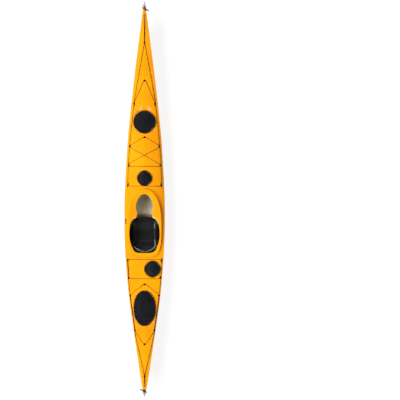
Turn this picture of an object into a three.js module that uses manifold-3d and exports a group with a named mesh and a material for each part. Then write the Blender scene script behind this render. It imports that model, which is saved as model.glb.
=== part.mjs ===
// Sea kayak in moulded composite: hull, deck, coaming, hatches, outfitting, drop skeg and deck rigging.
// Bow towards +Y, starboard towards +X, the keel's flat on Z = 0. All lengths in millimetres.
import * as THREE from "three";
import { mergeVertices } from "three/addons/utils/BufferGeometryUtils.js";
import Module from "manifold-3d";

const wasm = await Module();
wasm.setup();

// Hull and deck.
const LENGTH = 5410;
const BEAM = 556;
const DEPTH = 400;
const HALF_LENGTH = LENGTH / 2;
const HALF_BEAM = BEAM / 2;
const KEEL_HALF_WIDTH = 35;
const TIP_HALF_BREADTH = 4;
const LAMINATE = 4;
const SEAM_LIP = 6;
const CROWN = 80;
const BOW_CAP_LENGTH = 81;
const STERN_CAP_LENGTH = 84;
const SOLID_NOSE = 65;
const GAP = 0.3;
const OVERRUN = 60;
const BULKHEAD_THICKNESS = 8;

// Coaming.
const coamingFrontShare = 0.05139;
const COAMING_FRONT = coamingFrontShare * HALF_LENGTH;
const COAMING_LENGTH = 933;
const COAMING_BACK = COAMING_FRONT - COAMING_LENGTH;
const SIDE_DECK_WIDTH = 47;
const COAMING_HALF_WIDTH = HALF_BEAM - SIDE_DECK_WIDTH;
const FLANGE_WIDTH = 14;
const RISER_THICKNESS = 5;
// The riser leans in by this much at its top.
const RISER_LEAN = 0.4;
// The tool that cuts the cockpit opening starts under the lowest deck round it.
const COCKPIT_CUT_BOTTOM = DEPTH / 3;
const BRACE_DROP = 16;
const EDGE_ROUND = 3;

// Hatches.
const FRONT_HATCH_RADIUS = 153;
const frontHatchShare = 0.393;
const FRONT_HATCH_Y = frontHatchShare * HALF_LENGTH;
const POD_RADIUS = 101;
const POD_CLEARANCE = 47;
const POD_Y = COAMING_FRONT + POD_CLEARANCE + POD_RADIUS;
const POD_DEPTH = 130;
const POD_WALL = 4;
const DAY_HATCH_RADIUS = 108;
const DAY_HATCH_X = 111;
const DAY_HATCH_SETBACK = 57;
const DAY_HATCH_Y = COAMING_BACK - DAY_HATCH_SETBACK - DAY_HATCH_RADIUS;
const REAR_HATCH_HALF_WIDTH = 149;
const REAR_HATCH_HALF_LENGTH = 236;
const rearHatchShare = -0.553;
const REAR_HATCH_Y = rearHatchShare * HALF_LENGTH;
const RECESS_MARGIN = 6;
const RECESS_DEPTH = 4;
const RECESS_HEIGHT = 60;
const RECESS_FLARE = 12;
const FRONT_RECESS_FLARE = 150;
const RIM_INSET = 22;
const RIM_WALL = 4;
const RIM_HEIGHT = 17;
const RIM_DEPTH = 18;
const RIM_FLANGE = 16;
const RIM_FLANGE_THICKNESS = 3;
const COVER_SKIRT = 5;
const COVER_RING = 12;
const COVER_RING_HEIGHT = 25;
const COVER_GROOVE_DEPTH = 4;
const COVER_DOME = 7;
const coverHubShare = 0.06;
const coverShoulderShare = 0.55;
const shoulderRiseShare = 0.75;
const podFloorShare = 0.8;
const podHubShare = 0.05;

// Seat and backband.
const SEAT_SETBACK = 385;
const SEAT_FRONT = COAMING_FRONT - SEAT_SETBACK;
const SEAT_LENGTH = 406;
const SEAT_BACK = SEAT_FRONT - SEAT_LENGTH;
const SEAT_SIDE_CLEARANCE = 60;
const SEAT_HALF_WIDTH = HALF_BEAM - SEAT_SIDE_CLEARANCE;
const SEAT_BASE = 46;
const SEAT_THICKNESS = 5;
const SEAT_CHEEK = 178;
const SEAT_CORNER = 70;
const SEAT_RAMP = 45;
const SEAT_BLOCK_HALF_WIDTH = 60;
const SEAT_BLOCK_INSET = 50;
const BACKBAND_HALF_WIDTH = 150;
const BACKBAND_BOW = 72;
const BACKBAND_THICKNESS = 18;
const BACKBAND_BOTTOM = 150;
const BACKBAND_TOP = 256;
const BACKBAND_LEAD = 4;
const BACKBAND_Y = SEAT_BACK + BACKBAND_LEAD;
const backbandStubShare = 0.9;
const BACKBAND_HINGE_HEIGHT = 186;
const BACKBAND_STUB_REACH = 204;
const BACKBAND_STUB_RADIUS = 6;

// Bulkheads and foot rests.
const frontBulkheadShare = 0.29575;
const FRONT_BULKHEAD_Y = frontBulkheadShare * HALF_LENGTH;
const DAY_BULKHEAD_SETBACK = 24;
const DAY_BULKHEAD_Y = COAMING_BACK - DAY_BULKHEAD_SETBACK;
const REAR_BULKHEAD_SETBACK = 85;
const REAR_BULKHEAD_Y = DAY_HATCH_Y - DAY_HATCH_RADIUS - REAR_BULKHEAD_SETBACK;
const RAIL_SETBACK = 100;
const RAIL_FRONT = FRONT_BULKHEAD_Y - RAIL_SETBACK;
const RAIL_LENGTH = 440;
const RAIL_BACK = RAIL_FRONT - RAIL_LENGTH;
const RAIL_HEIGHT_ABOVE_KEEL = 120;
const RAIL_THICKNESS = 8;
const RAIL_DEPTH = 16;
const RAIL_STANDOFF = 7;
const RAIL_LUG = 24;
const RAIL_LUG_INSET = 20;
const PEDAL_PLATE_WIDTH = 74;
const PEDAL_PLATE_HEIGHT = 104;
const PEDAL_PLATE_THICKNESS = 9;
const PEDAL_CLAMP_LENGTH = 60;
const PEDAL_CLAMP_THICKNESS = 9;
const PEDAL_OVERLAP = 1;
const pedalLowShare = 0.28;

// Skeg.
const skegFrontShare = -0.67505;
const SKEG_FRONT = skegFrontShare * HALF_LENGTH;
const SKEG_LENGTH = 408;
const SKEG_BACK = SKEG_FRONT - SKEG_LENGTH;
const skegTopShare = 0.53;
const SKEG_TOP = skegTopShare * DEPTH;
const SKEG_BOX_HALF_WIDTH = 10;
const SKEG_WALL = 4;
const SKEG_BLADE_HALF_THICKNESS = 4;
const SKEG_PIVOT_INSET = 30;
const SKEG_PIVOT_RISE = 26;
const SKEG_BOSS_RADIUS = 14;
const SKEG_PIN_RADIUS = 4;
const SKEG_PIN_CLEARANCE = 0.3;
const SKEG_BLADE_CLEARANCE = 10;
const sliderAcrossShare = 0.574;
const SLIDER_X = -COAMING_HALF_WIDTH - sliderAcrossShare * SIDE_DECK_WIDTH;
const SLIDER_SETBACK = 444;
const SLIDER_Y = COAMING_FRONT - SLIDER_SETBACK;
const SLIDER_SLOT_LENGTH = 63;
const SLIDER_SLOT_HALF_WIDTH = 3.5;
const SLIDER_TRACK_HALF_WIDTH = 7;
const SLIDER_TRACK_DEPTH = 11;
const SLIDER_TRACK_MARGIN = 6;
const SLIDER_FLOOR = 2;
const SLIDER_KNOB_LENGTH = 20;
const SLIDER_KNOB_HEIGHT = 8;
const SLIDER_KNOB_HALF_WIDTH = 5;
const SLIDER_STEM_CLEARANCE = 0.5;
const CABLE_RADIUS = 3;
const CABLE_HOLE_RADIUS = 5;

// Ends.
const TOGGLE_LENGTH = 110;
const TOGGLE_RADIUS = 9;
const TOGGLE_YAW = -24;
const TOGGLE_SEAT = 1;
const TOGGLE_CORD_CLEARANCE = 0.7;
const TOGGLE_STRAND_OFFSET = 4.5;
const TOGGLE_KNOT_RADIUS = 8;
const END_HOLE_RADIUS = 4.5;
const TOGGLE_STRAND_RISE = 5;
const TOGGLE_STRAND_LEAD = 15;
const BOW_HOLE_INSET = 45;
const BOW_HOLE_Y = HALF_LENGTH - BOW_HOLE_INSET;
const bowHoleHeightShare = 0.9825;
const BOW_HOLE_Z = bowHoleHeightShare * DEPTH;
const BOW_TOGGLE_X = 13;
const BOW_TOGGLE_REACH = 59;
const BOW_TOGGLE_Y = BOW_HOLE_Y - BOW_TOGGLE_REACH;
const STERN_HOLE_INSET = 29;
const STERN_HOLE_Y = STERN_HOLE_INSET - HALF_LENGTH;
const sternHoleHeightShare = 0.8675;
const STERN_HOLE_Z = sternHoleHeightShare * DEPTH;
const STERN_TOGGLE_X = -12;
const STERN_TOGGLE_REACH = 50;
const STERN_TOGGLE_Y = STERN_HOLE_Y + STERN_TOGGLE_REACH;

// Deck fittings and cords.
const FITTING_RADIUS = 15;
const FITTING_CUP_RADIUS = 13;
const FITTING_CUP_DEPTH = 10.5;
const FITTING_FLANGE = 2;
const FITTING_DISH_RADIUS = 14;
// Below its wide lip the dish narrows, so that the cup's wall keeps its thickness under the deck.
const FITTING_THROAT_RADIUS = 12.1;
const FITTING_THROAT_HEIGHT = 0.9;
const FITTING_DISH_FLOOR_RADIUS = 6;
const FITTING_DISH_DEPTH = 8;
const FITTING_BAR_RADIUS = 1.6;
const FITTING_BAR_HEIGHT = 2.2;
const FITTING_HOLE_CLEARANCE = 0.5;
const CORD_RADIUS = 2.5;
const CORD_CLEARANCE = 2;
const CORD_LANE = 3.4;
const CORD_PASS_END = 13.5;
const CORD_PASS_LOW = -4.4;
const CORD_PASS_HIGH = 6.2;
const CORD_KNOT_RADIUS = 5.3;
const CORD_KNOT_REACH = 26;
const CORD_KNOT_SIDE = 9;
const CORD_RUN_STEP = 240;
const CORD_CROSS_STEP = 75;
const CORD_HOP = 7;
const CORD_HOP_REACH = 60;
const CORD_CHECKS = 8;
const FRONT_LOOP_SIDE = 27;
const FRONT_LOOP_REACH = 39;
const DAY_LINE_CLEARANCE = 10;
const LINE_TURN_HALF_WIDTH = 7;
const BOW_LINE_TURN_INSET = 165;
const BOW_LINE_TURN_Y = HALF_LENGTH - BOW_LINE_TURN_INSET;
const STERN_LINE_TURN_INSET = 135;
const STERN_LINE_TURN_Y = STERN_LINE_TURN_INSET - HALF_LENGTH;

// Counts of sides and steps, powers of the curved sections, and how close two corners are one.
const STATIONS = 23;
const HULL_STEPS = 7;
const DECK_STEPS = 12;
const COAMING_SAMPLES = 38;
const HATCH_SIDES = 18;
const ROUND_SIDES = 10;
const BAR_SIDES = 4;
const FITTING_SIDES = 8;
const CORD_SIDES = 6;
const SEAT_COLUMNS = 12;
const SEAT_ROWS = 8;
const BACKBAND_COLUMNS = 8;
const PLAN_STEPS = 20;
const HULL_SIDE_POWER = 0.75;
const DECK_ROUND_POWER = 0.8;
const SEAT_CORNER_POWER = 5;
const SEAT_EDGE_POWER = 3;
const CORNER_TOLERANCE = 1e-3;
const PLACE_TOLERANCE = 1e-6;

// Each table below gives a share of half the length, then a share of the size named after it.
const outlineShares = [
  [-1, 0], [-0.959, 0.101], [-0.898, 0.201], [-0.817, 0.322], [-0.735, 0.442], [-0.654, 0.554],
  [-0.532, 0.728], [-0.41, 0.855], [-0.288, 0.946], [-0.207, 0.98], [-0.126, 0.997], [-0.045, 0.996],
  [0.077, 0.958], [0.199, 0.895], [0.321, 0.815], [0.443, 0.696], [0.565, 0.565], [0.687, 0.424],
  [0.768, 0.322], [0.849, 0.219], [0.93, 0.116], [0.97, 0.062], [1, 0],
];
const sheerShares = [
  [-1, 0.875], [-0.8, 0.745], [-0.5, 0.64], [-0.2, 0.598], [0, 0.5875], [0.2, 0.597], [0.5, 0.655],
  [0.75, 0.79], [0.9, 0.9], [1, 0.985],
];
const keelShares = [
  [-1, 0.8], [-0.97, 0.52], [-0.93, 0.3], [-0.85, 0.14], [-0.75, 0.06], [-0.6, 0.012], [-0.34, 0],
  [0.34, 0], [0.6, 0.018], [0.7, 0.07], [0.85, 0.22], [0.925, 0.4], [0.96, 0.56], [1, 0.9],
];
const keelWidthShares = [[-1, 0.06], [-0.8, 0.35], [-0.34, 1], [0.34, 1], [0.8, 0.35], [1, 0.06]];
const veeShares = [[-1, 0.85], [-0.75, 0.5], [-0.4, 0.16], [0, 0.12], [0.4, 0.18], [0.75, 0.55], [1, 0.85]];
const deckRoundShare = 0.75;
const deckEvenShare = 0.6;
const crownShares = [
  [-1, 0.08], [-0.7, 0.25], [-0.5, 0.35], [-0.3, 0.32], [-0.2, 0.5], [-0.06, 0.85], [0.06, 0.97],
  [0.15, 1], [0.3, 0.8], [0.4, 0.6], [0.6, 0.38], [0.85, 0.18], [1, 0.1],
];
// Along the coaming from back (-1) to front (1): the width of its ledge, as a share of its half width.
const ledgeShares = [
  [-1, 0.24], [-0.83, 0.2], [-0.7, 0.175], [-0.53, 0.12], [-0.35, 0.092], [-0.2, 0.105], [0, 0.17],
  [0.09, 0.23], [0.16, 0.47], [0.22, 0.52], [0.33, 0.53], [0.43, 0.44], [0.55, 0.37], [0.7, 0.34], [1, 0.31],
];
const rimShares = [[-1, 0.728], [-0.5, 0.735], [0, 0.762], [0.5, 0.808], [1, 0.842]];
const COAMING_FRONT_POWER = 2.2;
const COAMING_BACK_POWER = 4;
const REAR_HATCH_POWER = 2.2;

// Across the seat: share of its half width, then of its cheek's height. Along it, from the front edge.
const cheekShares = [[0, 0], [0.58, 0], [0.8, 0.17], [0.92, 0.48], [1, 1]];
const cheekAlongShares = [[0, 0.1], [0.2, 0.4], [0.42, 1], [1, 1]];
const seatWidthShares = [[0, 0.74], [0.2, 0.88], [0.42, 1], [1, 1]];
const seatRampShares = [[0, 0.45], [0.15, 0.36], [0.5, 0], [0.75, 0.05], [1, 1]];

// Deck fittings: share of half the length, share of the half breadth there (side ones on both sides).
const centreFittingShares = [
  ["bow", 0.794], ["foredeck", 0.602], ["front", 0.314],
  ["back", -0.432], ["hatch", -0.736], ["stern", -0.898],
];
const sideFittingShares = [
  [0.485, 0.79], [0.268, 0.85], [0.1715, 0.86], [0.071, 0.857],
  [-0.311, 0.897], [-0.399, 0.905], [-0.489, 0.908], [-0.664, 0.896],
];

// Skeg cable housing from the slider to the skeg box: share of the length, half beam and depth.
const cableRouteShares = [
  [-0.1305, -0.928, 0.583], [-0.145, -0.915, 0.565], [-0.166, -0.88, 0.535], [-0.2366, -0.85, 0.515],
  [-0.3024, -0.8, 0.51], [-0.3623, -0.75, 0.51], [-0.4259, -0.68, 0.51], [-0.5, -0.58, 0.515],
  [-0.645, -0.42, 0.53], [-0.688, -0.2, 0.555], [-0.715, -0.05, 0.57], [-0.7333, -0.008, 0.553],
];
const endCapSectionShares = [0, 0.55, 1];
const skegBottomShares = [0, 0.25, 0.5, 0.75, 1];
const bladeBottomShares = [0.072, 0.4, 0.7, 0.94];
const skegTopShares = [[0, 0.35], [0.06, 0.72], [0.25, 0.96], [0.5, 1], [0.8, 0.93], [0.94, 0.72], [1, 0.42]];
const bladeTopShares = [[0.08, 0.3], [0.25, 0.75], [0.5, 0.9], [0.75, 0.84], [0.9, 0.6], [0.96, 0.34]];

const material = (colour, roughness, metalness = 0) =>
  new THREE.MeshStandardMaterial({ color: colour, roughness, metalness });
const yellowGelcoat = material("#ffb400", 0.25);
const hullGelcoat = material("#ffb400", 0.25);
const greyEnds = material("#8a8178", 0.45);
const paleLaminate = material("#a39b7a", 0.7);
const blackRubber = material("#14171c", 0.75);
const blackPlastic = material("#101114", 0.5);
const blackFabric = material("#17181c", 0.9);
const aluminium = material("#a9adb2", 0.35, 1);
const darkCord = material("#2a1c12", 0.85);
const greyBlade = material("#3a3d42", 0.5);

// A smooth curve through a table of pairs that never overshoots between them.
function curveThrough(table) {
  const slopes = table.slice(1).map(([x, y], i) => (y - table[i][1]) / (x - table[i][0]));
  const tangents = table.map((_, i) => {
    if (i === 0) return slopes[0];
    if (i === table.length - 1) return slopes[i - 1];
    const before = slopes[i - 1];
    const after = slopes[i];
    return before * after <= 0 ? 0 : (2 * before * after) / (before + after);
  });
  return (at) => {
    const x = Math.min(Math.max(at, table[0][0]), table[table.length - 1][0]);
    const i = Math.min(table.findIndex(([next], k) => k > 0 && x <= next), table.length - 1) - 1;
    const [x0, y0] = table[i];
    const [x1, y1] = table[i + 1];
    const span = x1 - x0;
    const t = (x - x0) / span;
    const rise = (3 - 2 * t) * t * t;
    const lead = t * (1 - t) * (1 - t) * span;
    const trail = t * t * (t - 1) * span;
    return y0 * (1 - rise) + y1 * rise + tangents[i] * lead + tangents[i + 1] * trail;
  };
}

const outline = curveThrough(outlineShares);
const sheerCurve = curveThrough(sheerShares);
const keelCurve = curveThrough(keelShares);
const keelWidthCurve = curveThrough(keelWidthShares);
const veeCurve = curveThrough(veeShares);
const crownCurve = curveThrough(crownShares);

const halfBreadth = (y) => Math.max(HALF_BEAM * outline(y / HALF_LENGTH), TIP_HALF_BREADTH);
const sheerHeight = (y) => DEPTH * sheerCurve(y / HALF_LENGTH);
const keelHeight = (y) => DEPTH * keelCurve(y / HALF_LENGTH);
const keelHalfWidth = (y) => Math.min(KEEL_HALF_WIDTH * keelWidthCurve(y / HALF_LENGTH), halfBreadth(y) / 2);
const crownHeight = (y) => CROWN * crownCurve(y / HALF_LENGTH);

// Turns a three.js geometry into a solid, with its faces outwards.
function solidOf(geometry) {
  const plain = new THREE.BufferGeometry();
  plain.setAttribute("position", geometry.getAttribute("position"));
  if (geometry.index) plain.setIndex(geometry.index);
  const merged = mergeVertices(plain, CORNER_TOLERANCE);
  const corners = Array.from(merged.index.array);
  const faces = [];
  for (let i = 0; i < corners.length; i += 3) {
    const [a, b, c] = corners.slice(i, i + 3);
    if (a !== b && b !== c && c !== a) faces.push([a, b, c]);
  }
  const build = (turned) =>
    new wasm.Manifold(
      new wasm.Mesh({
        numProp: 3,
        vertProperties: merged.attributes.position.array,
        triVerts: new Uint32Array(faces.flatMap(([a, b, c]) => (turned ? [a, c, b] : [a, b, c]))),
      }),
    );
  const solid = build(false);
  return solid.volume() < 0 ? build(true) : solid;
}

// Turns a solid back into a three.js geometry.
function geometryOf(solid) {
  const mesh = solid.getMesh();
  const positions = new Float32Array(mesh.numVert * 3);
  for (let i = 0; i < mesh.numVert; i++) {
    positions.set(mesh.vertProperties.subarray(i * mesh.numProp, i * mesh.numProp + 3), i * 3);
  }
  const geometry = new THREE.BufferGeometry();
  geometry.setAttribute("position", new THREE.BufferAttribute(positions, 3));
  geometry.setIndex(new THREE.BufferAttribute(new Uint32Array(mesh.triVerts), 1));
  return geometry;
}

const kayak = new THREE.Group();
kayak.name = "sea_kayak";

function addPiece(name, solid, look) {
  const geometry = geometryOf(solid).toNonIndexed();
  geometry.computeVertexNormals();
  const mesh = new THREE.Mesh(geometry, look);
  mesh.name = name;
  kayak.add(mesh);
  return mesh;
}

const point = (x, y, z) => new THREE.Vector3(x, y, z);

// Skins a list of rings with equal counts; a joined list runs round to its first ring, others get end caps.
function loft(rings, joined = false) {
  const count = rings[0].length;
  const points = rings.flat();
  const faces = [];
  const strips = joined ? rings.length : rings.length - 1;
  for (let i = 0; i < strips; i++) {
    const here = i * count;
    const there = ((i + 1) % rings.length) * count;
    for (let j = 0; j < count; j++) {
      const k = (j + 1) % count;
      faces.push(here + j, here + k, there + k, here + j, there + k, there + j);
    }
  }
  const cap = (ring, start, turned) => {
    const centre = points.length;
    points.push(ring.reduce((sum, p) => sum.add(p), point(0, 0, 0)).divideScalar(count));
    for (let j = 0; j < count; j++) {
      const k = (j + 1) % count;
      if (turned) faces.push(centre, start + k, start + j);
      else faces.push(centre, start + j, start + k);
    }
  };
  if (!joined) {
    cap(rings[0], 0, true);
    cap(rings[rings.length - 1], (rings.length - 1) * count, false);
  }
  const geometry = new THREE.BufferGeometry().setFromPoints(points);
  geometry.setIndex(faces);
  return solidOf(geometry);
}

// One side of the hull's section, from the keel flat's edge up to the height of its top.
function hullSide(y, inset, top) {
  const breadth = halfBreadth(y) - inset;
  const flat = (keelHalfWidth(y) * breadth) / halfBreadth(y);
  const keel = keelHeight(y) + inset;
  const vee = veeCurve(y / HALF_LENGTH);
  const side = [];
  for (let i = 0; i <= HULL_STEPS; i++) {
    const angle = (i / HULL_STEPS) * (Math.PI / 2);
    const across = Math.sin(angle) ** HULL_SIDE_POWER;
    const up = vee * across + (1 - vee) * (1 - Math.cos(angle));
    side.push([flat + (breadth - flat) * across, keel + (top - keel) * up]);
  }
  return side;
}

const deckShape = (u) =>
  deckRoundShare * Math.max(1 - u * u, 0) ** DECK_ROUND_POWER + (1 - deckRoundShare) * (1 - u);

// The deck's section from starboard to port, sunk and narrowed by an inset.
function deckArc(y, inset) {
  const breadth = halfBreadth(y);
  const arc = [];
  for (let i = 0; i <= DECK_STEPS; i++) {
    const packed = Math.cos((i / DECK_STEPS) * Math.PI);
    const across = packed + (1 - (2 * i) / DECK_STEPS - packed) * deckEvenShare;
    const x = (breadth - inset) * across;
    const rise = crownHeight(y) * deckShape(Math.min(Math.abs(x) / breadth, 1));
    arc.push([x, sheerHeight(y) + GAP / 2 + SEAM_LIP + rise - inset]);
  }
  return arc;
}

const ringAt = (y, pairs) => pairs.map(([x, z]) => point(x, y, z));
const portOf = (side) => side.map(([x, z]) => [-x, z]).reverse();

function hullRing(y) {
  const side = hullSide(y, 0, sheerHeight(y) - GAP / 2);
  return ringAt(y, [...portOf(side), ...side]);
}

function hullHollowRing(y) {
  const side = hullSide(y, LAMINATE, sheerHeight(y));
  const [edge] = side[side.length - 1];
  side.push([edge, sheerHeight(y) + OVERRUN]);
  return ringAt(y, [...portOf(side), ...side]);
}

function deckRing(y) {
  const low = sheerHeight(y) + GAP / 2;
  const breadth = halfBreadth(y);
  return ringAt(y, [[-breadth, low], [breadth, low], ...deckArc(y, 0)]);
}

function deckHollowRing(y) {
  const low = sheerHeight(y) - OVERRUN;
  const breadth = halfBreadth(y) - LAMINATE;
  return ringAt(y, [[-breadth, low], [breadth, low], ...deckArc(y, LAMINATE)]);
}

function wholeRing(y, inset) {
  const side = hullSide(y, inset, sheerHeight(y));
  return ringAt(y, [...portOf(side), ...side, ...deckArc(y, inset)]);
}

// Stations from stern to bow, closer together towards the ends.
function stationsBetween(back, front) {
  const list = [];
  for (let i = 0; i <= STATIONS; i++) {
    const t = i / STATIONS;
    const even = 2 * t - 1;
    const packed = -Math.cos(Math.PI * t);
    const along = (even + packed) / 2;
    list.push(back + ((along + 1) / 2) * (front - back));
  }
  return list;
}

const bodyBack = -HALF_LENGTH + STERN_CAP_LENGTH;
const bodyFront = HALF_LENGTH - BOW_CAP_LENGTH;
const bodyStations = stationsBetween(bodyBack, bodyFront);
const hollowStations = bodyStations.filter((y) => y > bodyBack + SOLID_NOSE && y < bodyFront - SOLID_NOSE);
const cavity = loft(hollowStations.map((y) => wholeRing(y, LAMINATE + GAP)));

// A box given by its lowest and highest corners.
function boxBetween(low, high) {
  const size = high.clone().sub(low);
  const middle = high.clone().add(low).divideScalar(2);
  return solidOf(new THREE.BoxGeometry(size.x, size.y, size.z).translate(middle.x, middle.y, middle.z));
}

// A round bar from one point to another.
function barBetween(from, to, radius, sides) {
  const along = to.clone().sub(from);
  const geometry = new THREE.CylinderGeometry(radius, radius, along.length(), sides);
  const turn = new THREE.Quaternion().setFromUnitVectors(point(0, 1, 0), along.clone().normalize());
  const middle = from.clone().add(to).divideScalar(2);
  geometry.applyMatrix4(new THREE.Matrix4().compose(middle, turn, point(1, 1, 1)));
  return solidOf(geometry);
}

// A flat side view in the Y-Z plane, thickened to both sides of the middle plane.
function sideExtrusion(pairs, halfWidth) {
  const shape = new THREE.Shape(pairs.map(([y, z]) => new THREE.Vector2(y, z)));
  const geometry = new THREE.ExtrudeGeometry(shape, { depth: 2 * halfWidth, bevelEnabled: false });
  const axes = new THREE.Matrix4().makeBasis(point(0, 1, 0), point(0, 0, 1), point(1, 0, 0));
  geometry.translate(0, 0, -halfWidth);
  geometry.applyMatrix4(axes);
  return solidOf(geometry);
}

const down = point(0, 0, -1);
const probe = new THREE.Raycaster();

// The deck's height and slope under a place, read from the faces that are really built.
function deckHit(skin, x, y) {
  probe.set(point(x, y, DEPTH + DEPTH), down);
  return probe.intersectObject(skin)[0];
}

// An oval ring round a centre; forward and aft halves may differ.
function ovalRing(centre, halfWidth, halfFront, halfBack, height, power = 2) {
  const ring = [];
  for (let i = 0; i < HATCH_SIDES; i++) {
    const angle = (i / HATCH_SIDES) * 2 * Math.PI;
    const along = Math.sin(angle);
    const across = Math.cos(angle);
    const x = Math.sign(across) * Math.abs(across) ** (2 / power) * halfWidth;
    const y = Math.sign(along) * Math.abs(along) ** (2 / power) * (along > 0 ? halfFront : halfBack);
    ring.push(point(centre.x + x, centre.y + y, height));
  }
  return ring;
}

function roundHatch(x, y, radius, flare) {
  return { x, y, wide: radius, long: radius, flare, power: 2 };
}

// The four hatches: place, half width, half length, how far the recess flares forward.
const hatches = {
  front: roundHatch(0, FRONT_HATCH_Y, FRONT_HATCH_RADIUS, FRONT_RECESS_FLARE),
  pod: roundHatch(0, POD_Y, POD_RADIUS, RECESS_FLARE),
  day: roundHatch(DAY_HATCH_X, DAY_HATCH_Y, DAY_HATCH_RADIUS, RECESS_FLARE),
  rear: {
    x: 0,
    y: REAR_HATCH_Y,
    wide: REAR_HATCH_HALF_WIDTH,
    long: REAR_HATCH_HALF_LENGTH,
    flare: RECESS_FLARE,
    power: REAR_HATCH_POWER,
  },
};

const hatchRing = (hatch, growth, height) =>
  ovalRing(hatch, hatch.wide + growth, hatch.long + growth, hatch.long + growth, height, hatch.power);

// The recess floor lies just under the lowest deck round the hatch.
function findFloor(hatch, skin) {
  const heights = hatchRing(hatch, RECESS_MARGIN, 0).map((p) => deckHit(skin, p.x, p.y).point.z);
  return Math.min(...heights) - RECESS_DEPTH;
}

function recessTool(hatch, growth) {
  const low = hatchRing(hatch, RECESS_MARGIN + growth, hatch.floor - growth);
  const wide = hatch.wide + RECESS_MARGIN + RECESS_FLARE + growth;
  const front = hatch.long + RECESS_MARGIN + hatch.flare + growth;
  const back = hatch.long + RECESS_MARGIN + RECESS_FLARE + growth;
  const high = ovalRing(hatch, wide, front, back, hatch.floor + RECESS_HEIGHT - growth, hatch.power);
  return loft([low, high]);
}

const hatchMouth = (hatch, growth) =>
  loft([-OVERRUN, OVERRUN].map((rise) => hatchRing(hatch, growth - RIM_INSET, hatch.floor + rise)));

// The coaming's flange seen from above, as evenly spaced places with outward directions.
function coamingPlan() {
  const middle = (COAMING_FRONT + COAMING_BACK) / 2;
  const half = (COAMING_FRONT - COAMING_BACK) / 2;
  const dense = [];
  const fine = COAMING_SAMPLES * PLAN_STEPS;
  for (let i = 0; i <= fine; i++) {
    const angle = (i / fine) * 2 * Math.PI;
    const power = Math.cos(angle) > 0 ? COAMING_FRONT_POWER : COAMING_BACK_POWER;
    const along = Math.sign(Math.cos(angle)) * Math.abs(Math.cos(angle)) ** (2 / power);
    const across = Math.sign(Math.sin(angle)) * Math.abs(Math.sin(angle)) ** (2 / power);
    dense.push(new THREE.Vector2(COAMING_HALF_WIDTH * across, middle + half * along));
  }
  const distances = [0];
  for (let i = 1; i <= fine; i++) distances.push(distances[i - 1] + dense[i].distanceTo(dense[i - 1]));
  const total = distances[fine];
  const at = (distance) => {
    const wanted = ((distance % total) + total) % total;
    const i = Math.max(distances.findIndex((d) => d >= wanted), 1);
    const t = (wanted - distances[i - 1]) / (distances[i] - distances[i - 1]);
    return dense[i - 1].clone().lerp(dense[i], t);
  };
  const step = total / COAMING_SAMPLES;
  return Array.from({ length: COAMING_SAMPLES }, (_, i) => {
    const place = at(i * step);
    const way = at((i + 0.5) * step).sub(at((i - 0.5) * step)).normalize();
    return { place, out: new THREE.Vector2(-way.y, way.x), share: (place.y - middle) / half };
  }).map(({ place, out, share }) => {
    const outward = out.dot(new THREE.Vector2(place.x, place.y - middle)) > 0 ? out : out.negate();
    return { place, outward, share };
  });
}

const coamingSamples = coamingPlan();

const coamingPoint = (sample, outwards) => sample.place.clone().addScaledVector(sample.outward, outwards);

function cockpitOpening() {
  const inwards = -FLANGE_WIDTH - RISER_THICKNESS;
  return loft(
    [COCKPIT_CUT_BOTTOM, DEPTH].map((z) =>
      coamingSamples.map((sample) => {
        const place = coamingPoint(sample, inwards);
        return point(place.x, place.y, z);
      }),
    ),
  );
}

function makeCoaming(skin) {
  const ledge = curveThrough(ledgeShares);
  const rimCurve = curveThrough(rimShares);
  // The riser's foot clears the deck at each sample and halfway to both neighbours.
  const deckUnder = (sample, outwards) => {
    const place = coamingPoint(sample, outwards);
    return point(place.x, place.y, deckHit(skin, place.x, place.y).point.z);
  };
  const seated = (index, outwards) => {
    const here = deckUnder(coamingSamples[index], outwards);
    const lifts = [-1, 1].map((side) => {
      const near = (index + side + COAMING_SAMPLES) % COAMING_SAMPLES;
      const halfway = here.clone().lerp(deckUnder(coamingSamples[near], outwards), 0.5);
      return deckHit(skin, halfway.x, halfway.y).point.z - halfway.z;
    });
    return here.z + GAP + Math.max(...lifts, 0);
  };
  const rings = coamingSamples.map((sample, index) => {
    const rim = DEPTH * rimCurve(sample.share);
    const width = COAMING_HALF_WIDTH * ledge(sample.share);
    const outer = -FLANGE_WIDTH;
    const inner = outer - RISER_THICKNESS;
    const drop = (BRACE_DROP * width) / COAMING_HALF_WIDTH;
    const profile = [
      [0, rim - EDGE_ROUND],
      [-EDGE_ROUND, rim],
      [outer, rim],
      [-width, rim - drop],
      [-width, rim - drop - LAMINATE],
      [inner - RISER_LEAN, rim - LAMINATE],
      [inner, seated(index, inner)],
      [outer, seated(index, outer)],
      [outer, rim - LAMINATE],
      [-EDGE_ROUND, rim - LAMINATE],
    ];
    return profile.map(([outwards, z]) => {
      const place = coamingPoint(sample, outwards);
      return point(place.x, place.y, z);
    });
  });
  return loft(rings, true);
}

// A frame on the deck: origin on its surface, Z along its slope's normal over a piece's own reach.
function deckFrame(skin, x, y, reach) {
  const height = (dx, dy) => deckHit(skin, x + dx, y + dy).point.z;
  const slopeX = height(reach, 0) - height(-reach, 0);
  const slopeY = height(0, reach) - height(0, -reach);
  const normal = point(-slopeX, -slopeY, 2 * reach).normalize();
  const turn = new THREE.Quaternion().setFromUnitVectors(point(0, 0, 1), normal);
  const level = height(0, 0);
  const directions = FITTING_SIDES * 2;
  const bumps = Array.from({ length: directions }, (_, i) => {
    const angle = (i / directions) * 2 * Math.PI;
    const dx = reach * Math.cos(angle);
    const dy = reach * Math.sin(angle);
    return height(dx, dy) - level - (slopeX * dx + slopeY * dy) / (2 * reach);
  });
  return new THREE.Matrix4().compose(point(x, y, level + Math.max(...bumps, 0)), turn, point(1, 1, 1));
}

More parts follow.
